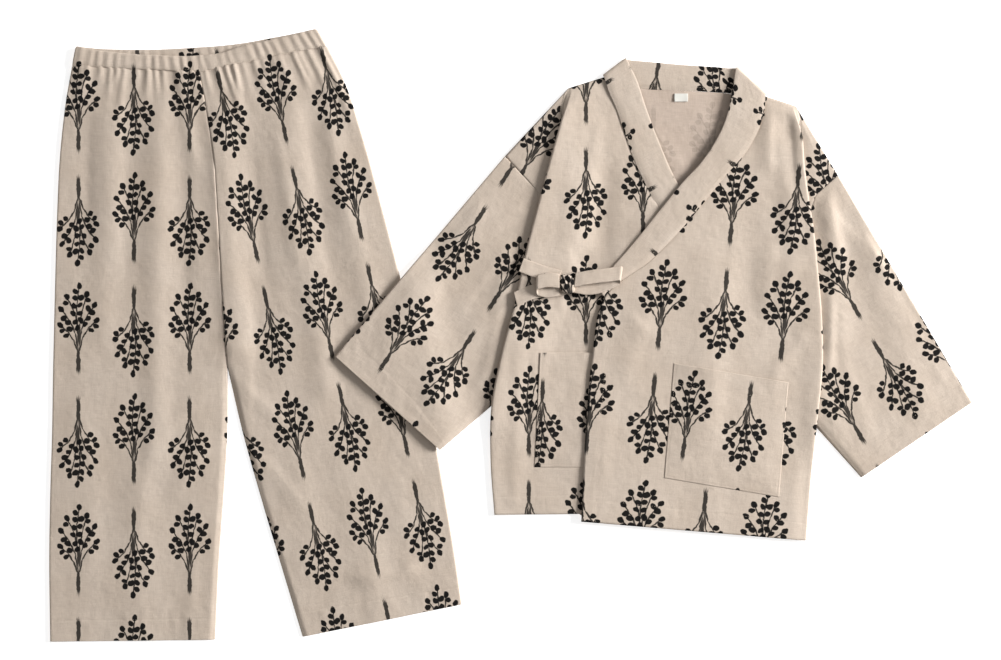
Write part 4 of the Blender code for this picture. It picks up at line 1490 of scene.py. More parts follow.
@dataclass
class JacketFront:
    """A front. Its cloth turns under itself along the fold and comes out as the drop shoulder."""

    name: str
    shape: FrontShape
    column_pitch: float = 2.6
    turn_steps: int = 6
    under_columns: int = 5
    hem_depth: float = 21.0
    edge_hem: float = 15.0
    tuck: float = 0.6

    def row_numbers(self) -> tuple[Array, Array]:
        """Sets out the rows, closer at the hem.

        Returns:
            The row numbers, and how far each is above the hem.
        """
        fine = np.linspace(0, len(self.shape.rows) - 1, 1200)
        inner, outer = self.shape.edges(fine)
        reach = running_length((inner + outer) / 2)
        hem = reach[-1] - self.hem_depth
        places = spaced(((hem - 3, 2.6), (hem + 3, 0.9), (reach[-1], 2.4)))
        return np.interp(places, reach, fine), reach[-1] - places

    def fold_profile(self, fold: Array) -> tuple[Array, Array]:
        """Works out the cloth's way round the fold, the layer turned under and the hidden turn.

        Args:
            fold: the fold's values, one row for each row of the front.

        Returns:
            How far inside the edge each step is, and its height.
        """
        edge, under, drop, width, folded = (fold[:, k : k + 1] for k in range(1, 6))
        edge = edge + self.shape.fold_lift * folded * ease((edge - 5) / 1.5)
        angles = np.linspace(0, math.pi, self.turn_steps + 1)[None]
        outer_radius, inner_radius = (edge - under) / 2, (under - drop) / 2
        first = HALF + outer_radius * (1 - np.sin(angles))
        share = np.linspace(0, 1, self.under_columns + 1)[None, 1:-1]
        flat_run = HALF + outer_radius + (width - HALF - outer_radius) * share
        second = width + inner_radius * np.sin(angles)
        folded_inside = np.concatenate([first, flat_run, second], 1)
        count = folded_inside.shape[1]
        shape = self.shape
        spread = np.linspace(shape.flat_start, shape.flat_end, count)[None]
        inside = spread + (folded_inside - spread) * folded
        step = 0.2 * (1 - folded)
        heights = np.concatenate(
            [
                (edge + under) / 2 + outer_radius * np.cos(angles) + step * (1 - np.cos(angles)) / 2,
                under + step * (1 - 2 * share),
                (under + drop) / 2 + inner_radius * np.cos(angles) - step * (1 + np.cos(angles)) / 2,
            ],
            1,
        )
        return inside, heights

    def build(self, room: Workroom) -> bpy.types.Object:
        """Builds the front with its hem, drop shoulder and stitches.

        Args:
            room: the workroom.

        Returns:
            The sheet.
        """
        shape = self.shape
        at, above_hem = self.row_numbers()
        inner, outer = shape.edges(at)
        fold = shape.fold_at(at)
        inside, heights = self.fold_profile(fold)
        across, length = ways_across(inner, outer)
        stop = length - inside[:, :1]
        columns = int(length.max() / self.column_pitch)
        share = np.linspace(0, 1, columns + 1)[None, :-1]
        along = stop * share - self.tuck * (1 - share) * (inner[:, 1:] < BAND_END_DOWN)
        place = inner[:, None] + across * along[..., None]
        x, down = place[..., 0], place[..., 1]
        height = shape.height(fold[:, None], x, down, length - along)
        on_band = ease((BAND_END_DOWN - inner[:, 1:]) / 4)
        height = height - 0.2 * groove(along, 1.8) * on_band
        hem = above_hem[:, None]
        height = height + hem_step(hem, self.hem_depth, 0.06, 0.07)
        height = height + (1 - on_band) * hem_step(along, self.edge_hem, 0.1, 0.15)
        pucker = soft_noise(x, down * 0.3, 6, shape.seed + 2)
        height = height + 0.18 * pucker * groove(hem - self.hem_depth + 5, 13)
        front = np.dstack([place, height])
        lag = height[:, -1:] - heights[:, :1]
        ramp = np.linspace(1, 0, inside.shape[1])[None] ** 4
        turn_place = inner[:, None] + across * (length - inside)[..., None]
        turn = np.dstack([turn_place, heights + lag * ramp * 0.8])
        seam = line_at(shape.armhole, np.minimum(2.0, 2 * at / shape.drop_rows))
        start = turn[:, -1]
        share = spaced(((0.85, 0.08), (1.0, 0.03)))[None, 1:, None]
        drop_place = start[:, None, :2] + (seam - start[:, :2])[:, None] * share
        drop_x, drop_down = drop_place[..., 0], drop_place[..., 1]
        to_seam = np.linalg.norm(seam - start[:, :2], axis=1)[:, None] * (1 - share[..., 0])
        ripple = 0.3 * soft_noise(drop_x, drop_down, 22, shape.seed + 3) * ease((1 - share[..., 0]) * 3)
        outside = ((drop_place - outer[:, None]) * across).sum(-1)
        hidden_share = np.clip(1 + outside / (fold[:, 4:5] + 2), 0, 1)
        risen = np.where(outside < 0, hidden_share, groove(outside, shape.rise_run))
        rise = shape.drop_rise * fold[:, 5:6] * risen
        drop_height = heights[:, -1:] + ripple + rise - 0.22 * groove(to_seam, 1.3)
        drop = np.dstack([drop_place, drop_height])
        grid = np.concatenate([front, turn, drop], 1)
        rows, cols = grid.shape[:2]
        hidden = front.shape[1] + self.turn_steps + self.under_columns
        keep = np.ones((rows - 1, cols - 1), bool)
        keep[at[:-1] >= shape.drop_rows, hidden:] = False
        front_uv = shape.lay.uv(x, down)
        run = np.linalg.norm(np.diff(grid[:, front.shape[1] - 1 :], axis=1), axis=-1).cumsum(1)
        flat = place[:, -1:] + across * run[:, : turn.shape[1], None]
        turn_uv = shape.lay.uv(flat[..., 0], flat[..., 1])
        drop_uv = shape.drop_lay.uv(drop_x, drop_down)
        uv = np.concatenate([front_uv, turn_uv, drop_uv], 1)
        obj = room.grid_object(self.name, JACKET, grid, uv, keep)
        room.thicken(obj, WALL)
        row = nearest(above_hem, self.hem_depth)
        runs = [front[row, 2:-4] + (0, 0, HALF)]
        hem_column = np.abs(along - self.edge_hem).argmin(1)
        free_rows = np.nonzero(inner[:, 1] > BAND_END_DOWN + 6)[0]
        runs.append(front[free_rows, hem_column[free_rows]] + (0, 0, HALF))
        room.dress(obj, (self.name,))
        sewn = room.stitches(self.name + "_stitches", JACKET, runs)
        room.declare(obj, grid[:, : front.shape[1] + turn.shape[1]])
        return obj


BAND_END_DOWN = 226.0


@dataclass
class Sleeve:
    """A sleeve laid flat, folded along its top and sewn along its underside."""

    name: str
    shape: FrontShape
    cuff: Points
    ridges: tuple[Ridge, ...]
    creases: tuple[Crease, ...]
    lay: PrintLay
    seed: int
    on_leg: bool = False
    rests_on: tuple[str, ...] = ()
    edge_run: float = 18.0
    underarm_run: float = 6.0
    hem_depth: float = 22.0
    leg_lift: float = 5.3
    leg_lift_run: float = 44.0
    leg_clearance: float = 5.0
    column_count: int = 84
    turn_steps: int = 8
    back_steps: int = 5

    def lift(self, x: Array, down: Array) -> Array:
        """Works out how far the trousers' leg below lifts the sleeve.

        Args:
            x: places across.
            down: places down.

        Returns:
            The lift at each place.
        """
        if not self.on_leg:
            return np.zeros(np.broadcast(x, down).shape)
        leg_down = down + TROUSERS.y - JACKET.y
        edge = np.interp(leg_down, [s.outer_down for s in LEFT_LEG], [s.outer_x for s in LEFT_LEG])
        past = x + JACKET.x - TROUSERS.x - edge
        return self.leg_lift * (1 - ease((past - self.leg_clearance) / self.leg_lift_run))

    def build(self, room: Workroom) -> bpy.types.Object:
        """Builds the sleeve with its cuff hem and stitches.

        Args:
            room: the workroom.

        Returns:
            The sheet.
        """
        armhole = self.shape.armhole
        back_edge = [*armhole[:2], *[self.shape.edges(at)[1] for at in self.shape.back_rows]]
        last = len(back_edge) - 1
        cuff = np.asarray(self.cuff, float)
        reach = float(np.linalg.norm(cuff.mean(0) - line_at(armhole, 1.5)))
        hem = reach - self.hem_depth
        away = spaced(((6, 0.8), (hem - 4, 2.6), (hem + 4, 0.8), (reach - 2, 2.2), (reach, 1.0)))
        share = (away / reach)[:, None, None]
        top = line_at(armhole, 0.0) + (cuff[0] - line_at(armhole, 0.0)) * share[:, 0]
        low = line_at(armhole, 3.0) + (cuff[1] - line_at(armhole, 3.0)) * share[:, 0]
        across, length = ways_across(top, low)
        radius = (SLEEVE_FRONT_LEVEL - FLOOR_LEVEL) / 2
        part = 1 - (1 - (HALF + radius) / length) * np.linspace(0, 1, self.column_count + 1)[None]
        line = line_at(armhole, part * 3)
        place = line + (cuff[0] + (cuff[1] - cuff[0]) * part[..., None] - line) * share
        place[:, -1] = top + across[:, 0] * (HALF + radius)
        x, down = place[..., 0], place[..., 1]
        from_top = part * length
        from_low = (1 - part) * length
        folds = relief(self.ridges, x, down) + relief(self.creases, x, down)
        folds = folds + 0.36 * soft_noise(x, down, 36, self.seed)
        folds = folds + 0.14 * soft_noise(x, down, 12, self.seed + 1)
        height = SLEEVE_FRONT_LEVEL + folds * ease(from_top / self.edge_run) * ease(away[:, None] / 14)
        height = height + (1.3 - height) * (1 - ease(from_low / self.underarm_run))
        height = height - 0.22 * groove(away[:, None], 1.3)
        from_cuff = (reach - away)[:, None]
        height = height + hem_step(from_cuff, self.hem_depth, 0.06, 0.07)
        height = height + 0.22 * soft_noise(x, down, 7, self.seed + 2) * groove(from_cuff - 16, 12)
        front = np.dstack([place, height + self.lift(x, down)])
        angles = turn_angles(self.turn_steps)[None]
        inside = HALF + radius * (1 - np.sin(angles)) + np.zeros(length.shape)
        turn_place = top[:, None] + across * inside[..., None]
        middle = (SLEEVE_FRONT_LEVEL + FLOOR_LEVEL) / 2
        turn_height = middle + radius * np.cos(angles) + self.lift(turn_place[..., 0], turn_place[..., 1])
        turn = np.dstack([turn_place, turn_height])
        back_part = np.linspace(0, 1, last * self.back_steps + 1)
        back_line = line_at(back_edge, back_part * last)[None]
        cuff_line = (cuff[0] + (cuff[1] - cuff[0]) * back_part[:, None])[None]
        back_place = back_line + (cuff_line - back_line) * share
        back_place[:, 0] = place[:, -1]
        back_height = FLOOR_LEVEL + self.lift(back_place[..., 0], back_place[..., 1])
        back = np.dstack([back_place, back_height])
        grid = np.concatenate([front, turn, back], 1)
        flat_top = top[:, None] - across * (radius * angles)[..., None]
        mirrored = 2 * (top[:, None] * across).sum(-1, keepdims=True) * across
        back_flat = back_place - 2 * ((back_place * across).sum(-1, keepdims=True)) * across + mirrored
        flat = np.concatenate([place, flat_top, back_flat], 1)
        uv = self.lay.uv(flat[..., 0], flat[..., 1])
        obj = room.grid_object(self.name, JACKET, grid, uv)
        room.thicken(obj, WALL)
        row = nearest(from_cuff[:, 0], self.hem_depth)
        runs = [front[row, 3:-2] + (0, 0, HALF), back[row, 2:-2] - (0, 0, HALF - 0.1)]
        room.dress(obj, (self.name,))
        sewn = room.stitches(self.name + "_hem_stitches", JACKET, runs)
        room.declare(obj, grid)
        return obj


# The back neck's seam, from the right shoulder to the left one
NECK_SEAM = ((-64, -4), (-40, -0.5), (0, 1), (37, 3), (65, 6))


@dataclass
class JacketBack:
    """The back, flat on the surface, whose wrong side shows in the neck's opening."""

    step: Points = ((-112, 443), (-100, 452))
    neck: Points = NECK_SEAM
    cell: float = 4.0
    seed: int = 41
    creases: tuple[Crease, ...] = (
        Crease(-46, 20, 30, 110, 9, 0.7, 6, 0.3),
        Crease(10, 12, 44, 90, 8, 0.6, -4, 0.3),
        Crease(-20, 60, 30, 190, 11, 0.5, 8, -0.3),
    )
    lay: PrintLay = PrintLay(30, 60, 0)

    def outline(self) -> list[Vector]:
        """Sets out the back's corners, clockwise from the right shoulder.

        Returns:
            The corners, with y upwards.
        """

        def side(shape: FrontShape) -> list[tuple[float, float]]:
            """Returns one side's corners, from the armhole's top to the hem."""
            edges = [tuple(shape.edges(at)[1]) for at in shape.back_rows]
            lower = [(r.outer_x, r.outer_down) for r in shape.rows[-2:]]
            return [*shape.armhole[:2], *edges, *lower]

        right = side(RIGHT_SHAPE) + [self.step[0]]
        left = side(LEFT_SHAPE) + [self.step[1]]
        first, other = RIGHT_FRONT[0], LEFT_FRONT[0]
        corners = [(first.outer_x, first.outer_down), (first.inner_x, first.inner_down), *self.neck]
        corners += [(other.inner_x, other.inner_down), (other.outer_x, other.outer_down)]
        return [Vector((x, -down, 0)) for x, down in [*corners, *left, *reversed(right)]]

    def build(self, room: Workroom) -> bpy.types.Object:
        """Builds the back from its outline, cut into small cells.

        Args:
            room: the workroom.

        Returns:
            The sheet.
        """
        outline = self.outline()
        mesh = bpy.data.meshes.new("jacket_back")
        mesh.from_pydata(outline, [], [list(range(len(outline)))])
        obj = bpy.data.objects.new("cloth_jacket_back", mesh)
        bpy.context.scene.collection.objects.link(obj)
        pick(obj)
        bpy.ops.object.mode_set(mode="EDIT")
        low = Vector(map(min, zip(*outline)))
        high = Vector(map(max, zip(*outline)))
        for axis in (0, 1):
            for k in range(1, int((high[axis] - low[axis]) / self.cell) + 1):
                plane = [0.0, 0.0, 0.0]
                normal = [0.0, 0.0, 0.0]
                plane[axis] = low[axis] + self.cell * k
                normal[axis] = 1.0
                bpy.ops.mesh.select_all(action="SELECT")
                bpy.ops.mesh.bisect(plane_co=plane, plane_no=normal, threshold=1e-4)
        bpy.ops.object.mode_set(mode="OBJECT")
        flat = np.empty(len(mesh.vertices) * 3)
        mesh.vertices.foreach_get("co", flat)
        flat = flat.reshape(-1, 3)
        x, down = flat[:, 0], -flat[:, 1]
        waves = 0.25 + 0.25 * soft_noise(x, down, 26, self.seed) + relief(self.creases, x, down)
        inside = np.clip(1 - np.maximum(abs(x - 5) / 75, abs(down - 85) / 105), 0, 1)
        height = FLOOR_LEVEL + waves * ease(inside * 4)
        places = JACKET.place(np.stack([x, down, height], 1))
        mesh.vertices.foreach_set("co", places.ravel())
        lay_print(mesh, self.lay.uv(x, down))
        if mesh.polygons[0].normal.z > 0:
            mesh.flip_normals()
        mesh.shade_smooth()
        room.thicken(obj, WALL)
        room.dress(obj, ("jacket_back",))
        return obj


@dataclass
class Neckband:
    """One doubled strip round the neck and down both fronts, folded at each shoulder."""

    right_free: Points = (
        (-59, -31), (-48, -8), (-40, 16), (-27, 51), (-6, 98), (22, 139), (52, 174), (85, 206),
    )
    left_free: Points = (
        (55, -22), (51, 2), (46, 26), (36, 50), (19, 76), (-3, 100), (-29, 132), (-54, 163), (-92, 206),
    )
    right_levels: tuple[float, ...] = (5.2, 4.8, 4.0, 3.6, 3.6, 3.6, 3.6, 3.6)
    left_levels: tuple[float, ...] = (5.2, 5.8, 6.6, 7.0, 7.0, 7.0, 7.0, 7.0, 7.0)
    neck_seam: Points = NECK_SEAM
    neck_free: Points = ((-51, -30.5), (-33, -29), (0, -26), (32, -24), (48, -22.5))
    back_level: float = 1.2
    thickness: float = 1.6
    columns: int = 16
    edge_steps: int = 4
    shoulder_steps: int = 8
    stitch_inset: float = 4.0
    pitch: float = 2.4
    seed: int = 51

    def side_rows(self, shape: FrontShape, free: Points, levels: Sequence[float]) -> list[tuple]:
        """Sets out the band's rows down one front.

        Args:
            shape: the front.
            free: the band's free edge, one place for each row.
            levels: its heights, one for each row.

        Returns:
            For each row its seam, its free edge, its height, how much of the front's folds it takes,
            the way out from the shoulder and the angle that the band has turned through.
        """
        last = len(free) - 1
        fine = np.linspace(0, last, 600)
        seam = shape.edges(fine)[0]
        reach = running_length(seam)
        at = np.interp(spaced(((reach[-1], self.pitch),)), reach, fine)
        seams, frees = shape.edges(at)[0], curve_at(free, at)
        heights = line_at([(z,) for z in levels], at)[:, 0]
        return [(s, f, z, 1.0, (0.0, 0.0), 0.0) for s, f, z in zip(seams, frees, heights)]

    def shoulder_rows(self, seam: Points, free: Points, outward: Points, level: float) -> list[tuple]:
        """Sets out the rows round the band's fold at a shoulder, from the front's height down.

        Args:
            seam: the seam's place there.
            free: the free edge's place.
            outward: the way out from the shoulder, one unit long.
            level: the front's height.

        Returns:
            The rows, as side_rows gives them.
        """
        radius = (level - self.back_level) / 2
        rows = []
        for angle in turn_angles(self.shoulder_steps):
            push = np.array(outward) * radius * math.sin(angle)
            height = (level + self.back_level) / 2 + radius * math.cos(angle)
            rows.append((np.array(seam) + push, np.array(free) + push, height, 0.0, outward, angle))
        return rows

    def build(self, room: Workroom) -> bpy.types.Object:
        """Builds the band as one flat tube of doubled cloth.

        Args:
            room: the workroom.

        Returns:
            The sheet.
        """
        right = self.side_rows(RIGHT_SHAPE, self.right_free, self.right_levels)[::-1]
        left = self.side_rows(LEFT_SHAPE, self.left_free, self.left_levels)
        share = np.linspace(0, 4, 60)
        seams, frees = curve_at(self.neck_seam, share), curve_at(self.neck_free, share)
        back = [(s, f, self.back_level, 0.0, (0.0, 0.0), math.pi) for s, f in zip(seams, frees)]
        start = RIGHT_FRONT[0]
        over_right = self.shoulder_rows(
            (start.inner_x, start.inner_down), self.right_free[0], (-0.45, -0.89), self.right_levels[0]
        )
        end = LEFT_FRONT[0]
        over_left = self.shoulder_rows(
            (end.inner_x, end.inner_down), self.left_free[0], (0.55, -0.83), self.left_levels[0]
        )[::-1]
        rows = right + over_right + back + over_left + left
        first_back, last_back = len(right) + 3, len(rows) - len(left) - 4
        seam, free, level, folds, outward, angle = (np.array(values, float) for values in zip(*rows))
        on_back = np.zeros(len(rows), bool)
        on_back[first_back:last_back] = True
        across = free - seam
        width = np.linalg.norm(across, axis=1)
        half = self.thickness / 2
        top = np.linspace(0, 1, self.columns + 1)
        angles = np.linspace(math.pi / 2, -math.pi / 2, self.edge_steps + 2)[1:-1]
        out = half * np.cos(angles)
        positions = np.concatenate([
            half + (width[:, None] - 2 * half) * top[None],
            width[:, None] - half + out[None],
            half + (width[:, None] - 2 * half) * top[None, ::-1],
            half - out[None, ::-1] + 0 * width[:, None],
        ], 1)
        offsets = np.concatenate([
            np.full(top.shape, half), half * np.sin(angles),
            np.full(top.shape, -half), half * np.sin(-angles),
        ])
        unit = across / width[:, None]
        place = seam[:, None] + unit[:, None] * positions[..., None]
        place = place + (outward * np.sin(angle)[:, None])[:, None] * offsets[None, :, None]
        x, down = place[..., 0], place[..., 1]
        lift = relief(JACKET_RIDGES, x, down) * ease(down / 40) * folds[:, None]
        waves = (0.22 * soft_noise(x, down, 17, self.seed) + 0.1) * folds[:, None]
        upwards = np.cos(angle)[:, None]
        face = np.clip(offsets[None] / half * upwards, 0, 1)
        seam_dip = -0.75 * groove(positions, 2.6) - 0.12 * groove(positions - self.stitch_inset, 0.8)
        edge_dip = -0.12 * groove(width[:, None] - positions, 2.0)
        crown = 0.25 * np.sin(math.pi * np.clip(positions / width[:, None], 0, 1))
        height = level[:, None] + offsets[None] * upwards + lift + waves
        height = height + face * (seam_dip + edge_dip + crown)
        height = np.maximum(height, 0.15)
        grid = np.dstack([place, height])
        middle = (seam + free) / 2
        reach = running_length(middle)
        centre = (reach[first_back] + reach[last_back - 1]) / 2
        u = np.where(on_back, middle[:, 0] + 89, reach - centre + 22)[:, None] + 0 * positions
        v = np.where(on_back[:, None], 7 + positions, 33 + positions * 1.2)
        v = v + np.where(offsets[None] * upwards < 0, 40.0, 0.0)
        uv = np.dstack([u, v]) * MM
        obj = room.tube("neckband", JACKET, grid, uv)
        runs = []
        spans = ((4, len(right) - 1), (first_back + 4, last_back - 4), (len(rows) - len(left) + 1, -4))
        for span in spans:
            part = slice(*span)
            run = seam[part, None] + unit[part, None] * self.stitch_inset
            lifted = relief(JACKET_RIDGES, run[:, 0, 0], run[:, 0, 1]) * ease(run[:, 0, 1] / 40) * folds[part]
            z = level[part] + half + lifted + 0.1 * folds[part]
            runs.append(np.column_stack([run[:, 0], z]))
        sewn = room.stitches("neckband_stitches", JACKET, runs)
        room.declare(obj, grid[:, : self.columns + 1])
        return obj


@dataclass
class PatchPocket:
    """A patch pocket: its edges are turned in and sewn to the front, and its top is hemmed."""

    name: str
    shape: FrontShape
    x: float
    down: float
    to_x: float
    to_down: float
    depth: float
    lean: float
    lay: PrintLay
    front: str
    wall: float = 0.3
    seed: int = 61
    pitch: float = 1.9
    hem_depth: float = 20.0
    sewn_in: float = 2.2

    def build(self, room: Workroom) -> bpy.types.Object:
        """Builds the pocket.

        Args:
            room: the workroom.

        Returns:
            The sheet.
        """
        top = np.array((self.to_x - self.x, self.to_down - self.down), float)
        width = float(np.hypot(*top))
        down_edge = np.array((self.lean, self.depth), float)
        depth = float(np.hypot(*down_edge))
        rim = ((3, 0.6), (9, 1.5))
        s = spaced((*rim, (width - 9, self.pitch), (width - 3, 1.5), (width, 0.6)))
        hem = ((self.hem_depth - 2, 1.8), (self.hem_depth + 2, 0.7))
        t = spaced((*rim, *hem, (depth - 9, self.pitch), (depth - 3, 1.5), (depth, 0.6)))
        place = top * (s / width)[None, :, None] + down_edge * (t / depth)[:, None, None]
        place = place + (self.x, self.down)
        x, down = place[..., 0], place[..., 1]
        fine = np.linspace(0, len(self.shape.rows) - 1, 1500)
        outer = self.shape.edges(fine)[1]
        at = np.interp(down, outer[:, 1], fine)
        edge = self.shape.edges(at.ravel())[1].reshape(*at.shape, 2)
        inside = np.hypot(edge[..., 0] - x, edge[..., 1] - down)
        ground = self.shape.height(self.shape.fold_at(at), x, down, inside)
        side = np.minimum(s, width - s)[None]
        low = (depth - t)[:, None]
        rim_distance = np.minimum(side, low)
        lift = HALF + 0.04 + 0.16 * ease(rim_distance / 1.6) + self.wall / 2 + 0.6 * ease(rim_distance / 18)
        lift = lift + 0.3 * ease((self.hem_depth - t[:, None]) / self.hem_depth) * ease(side / 14)
        lift = lift - 0.1 * groove(rim_distance - self.sewn_in, 0.7)
        lift = lift - 0.05 * groove(t[:, None] - self.hem_depth, 0.9)
        lift = lift + 0.2 * (soft_noise(x, down, 15, self.seed) + 0.4) * ease(rim_distance / 6)
        grid = np.dstack([place, ground + lift])
        obj = room.grid_object(self.name, JACKET, grid, self.lay.uv(x, down))
        room.thicken(obj, self.wall)
        room.dress(obj, (self.name,))
        i, j, k = nearest(s, self.sewn_in), nearest(t, self.sewn_in), nearest(t, self.hem_depth)
        up = np.array((0, 0, self.wall / 2))
        runs = [grid[1:-j, i] + up, grid[-1 - j, i:-i] + up, grid[1:-j, -1 - i] + up, grid[k, i:-i] + up]
        sewn = room.stitches(self.name + "_stitches", JACKET, runs)
        room.declare(obj, grid)
        return obj


@dataclass
class Tie:
    """A tie: a doubled strip along its route, 15 mm wide, with its edges folded in."""

    name: str
    route: Array
    lean: float
    lay: PrintLay
    rests_on: tuple[str, ...] = ("jacket_left_front",)
    width: float = 15.0
    thickness: float = 1.0
    tilt: float = 0.12
    columns: int = 8
    pitch: float = 0.9
    seed: int = 71

    def build(self, room: Workroom) -> bpy.types.Object:
        """Builds the tie as a flat tube with closed ends.

        Args:
            room: the workroom.

        Returns:
            The sheet.
        """
        reach = running_length(self.route)
        at = spaced(((reach[-1], self.pitch),))
        line = np.stack([np.interp(at, reach, self.route[:, k]) for k in range(3)], 1)
        heading = np.gradient(line, axis=0)
        heading /= np.linalg.norm(heading, axis=1)[:, None]
        turn = np.full(len(at), math.radians(self.lean))
        side = np.stack([np.sin(turn), np.cos(turn), np.full(len(at), self.tilt)], 1)
        normal = np.cross(side, heading)
        normal /= np.linalg.norm(normal, axis=1)[:, None]
        phi = np.linspace(0, 2 * math.pi, 2 * self.columns + 1)[:-1]
        wide = rounded(np.cos(phi), 0.75) * self.width / 2
        thick = rounded(np.sin(phi), 0.6) * self.thickness / 2
        dish = 0.25 * np.cos(phi) ** 2 - 0.12
        wavy = 0.25 * soft_noise(at[:, None], np.cos(phi)[None] * 6, 7, self.seed)
        offset = thick[None] + dish[None] + wavy
        grid = line[:, None] + side[:, None] * wide[None, :, None] + normal[:, None] * offset[..., None]
        u = at[:, None] + 0 * wide[None]
        uv = self.lay.uv(u, wide[None] + 0 * u)
        obj = room.tube(self.name, JACKET, grid, uv)
        room.declare(obj, grid[:, : self.columns + 1])
        return obj


@dataclass
class TieKnot:
    """The knot: the tie wrapped round the bow's middle, pinched and creased across."""

    x: float = -122.0
    down: float = 204.0
    height: float = 13.0
    length: float = 15.0
    depth: float = 19.0
    thick: float = 8.0
    rings: int = 22
    around: int = 40
    lay: PrintLay = PrintLay(0, 3, 8)

    def build(self, room: Workroom) -> bpy.types.Object:
        """Builds the knot as a closed, creased wrap.

        Args:
            room: the workroom.

        Returns:
            The piece.
        """
        s = np.linspace(-1, 1, self.rings + 1)[:, None]
        phi = np.linspace(0, 2 * math.pi, self.around + 1)[None, :-1]
        end = np.sqrt(np.clip(1 - np.abs(s) ** 3.2, 0, 1))
        folds = 1 + 0.05 * np.sin(3 * phi + 2.4 * s) + 0.035 * np.sin(7 * phi - 3 * s) * (1 - np.abs(s))
        down = rounded(np.cos(phi), 0.8) * self.depth / 2 * (0.55 + 0.45 * end) * folds
        up = rounded(np.sin(phi), 0.75) * self.thick / 2 * (0.35 + 0.65 * end) * folds
        crease = 0.7 * groove(s - 0.35 * np.cos(phi) - 0.1, 0.16)
        crease = crease + 0.5 * groove(s + 0.55 + 0.2 * np.cos(phi), 0.12)
        up = up - crease * np.clip(np.sin(phi), 0, 1) * end
        slant = 0.14 * down
        x = self.x + s * self.length / 2 + slant
        grid = np.dstack([x + 0 * down, self.down + down, self.height + up])
        uv = self.lay.uv(s * self.length / 2 + 0 * down, down)
        obj = room.tube("tie_knot", JACKET, grid, uv)
        room.declare(obj, grid[:, : self.around // 2 + 1])
        return obj


@dataclass
class SizeLabel:
    """The plain label at the back neck, a piece of white tape folded at its lower end."""

    x: float = -2.0
    down: float = 8.2
    width: float = 14.2
    length: float = 8.2
    thickness: float = 0.3
    gap: float = 0.2
    level: float = 1.75

    def build(self, room: Workroom) -> bpy.types.Object:
        """Builds the label with soft edges and a slight curl.

        Args:
            room: the workroom.

        Returns:
            The sheet.
        """
        u = np.linspace(-1, 1, 25)[None, :]
        angles = turn_angles(6)
        v = np.concatenate([np.linspace(-1, 1, 15), 1 + 0 * angles, np.linspace(1, -1, 15)])[:, None]
        push = np.concatenate([np.zeros(15), self.gap * np.sin(angles), np.zeros(15)])[:, None]
        layer = np.concatenate([np.ones(15), np.cos(angles), -np.ones(15)])[:, None]
        x = self.x + u * self.width / 2 + 0 * v
        down = self.down + v * self.length / 2 + push + 0 * u
        curl = 0.25 * (v + 1) * (0.4 + 0.6 * u * u) - 0.15 * groove(v + 0.8, 0.12)
        grid = np.dstack([x, down, self.level + self.gap * layer + curl])
        obj = room.grid_object("size_label", JACKET, grid, np.dstack([x, down]) * MM)
        room.thicken(obj, self.thickness)
        obj.data.materials.clear()
        obj.data.materials.append(room.tape)
        obj.data.polygons.foreach_set("material_index", [0] * len(obj.data.polygons))
        room.dress(obj, ("size_label",))
        room.declare(obj, grid)
        return obj


# The bow's routes, as x, down and height

def strand(points: Points) -> Array:
    """Returns a smooth, close run of places through the given ones."""
    return curve_at(points, np.linspace(0, len(points) - 1, 40 * len(points)))


def loop_route(lower: Points, upper: Points) -> Array:
    """Sets out a loop: out along the lower strand, round its end and back along the upper one.

    Args:
        lower: the lower strand's places, from the knot outwards.
        upper: the upper strand's.

    Returns:
        The whole route.
    """
    start, stop = np.array(lower[-1], float), np.array(upper[-1], float)
    outward = start[:2] - np.array(lower[-2][:2])
    outward /= np.linalg.norm(outward)
    radius = abs(stop[2] - start[2]) / 2
    angle = np.linspace(0, math.pi, 14)[1:-1, None]
    flat = start[:2] + (stop[:2] - start[:2]) * ease(angle / math.pi) + outward * radius * np.sin(angle)
    bend = np.hstack([flat, (start[2] + stop[2]) / 2 - radius * np.cos(angle)])
    return np.vstack([strand(lower), bend, strand(upper)[::-1]])


RIGHT_LOOP = loop_route(
    ((-114, 206, 10.9), (-98, 208, 10.9), (-82, 205, 11.1), (-67, 198, 11.2)),
    ((-114, 200, 14.8), (-98, 197, 15.4), (-82, 195, 15.4), (-67, 193, 15.0)),
)
LEFT_LOOP = loop_route(
    ((-130, 209, 11.6), (-142, 211, 11.6), (-152, 209, 11.6)),
    ((-130, 201, 15.4), (-142, 200, 15.6), (-152, 202, 15.6)),
)
UPPER_TAIL = strand(((-130, 197, 10.2), (-145, 193, 10.2), (-157, 189, 10.2), (-170, 184, 10.0)))
LOWER_TAIL = strand(((-130, 209, 9.6), (-145, 210, 9.8), (-160, 213, 10.0), (-176, 220, 9.8)))
BAND_TIE = strand(((-114, 200, 9.0), (-106, 199, 9.0), (-98, 198, 9.0)))


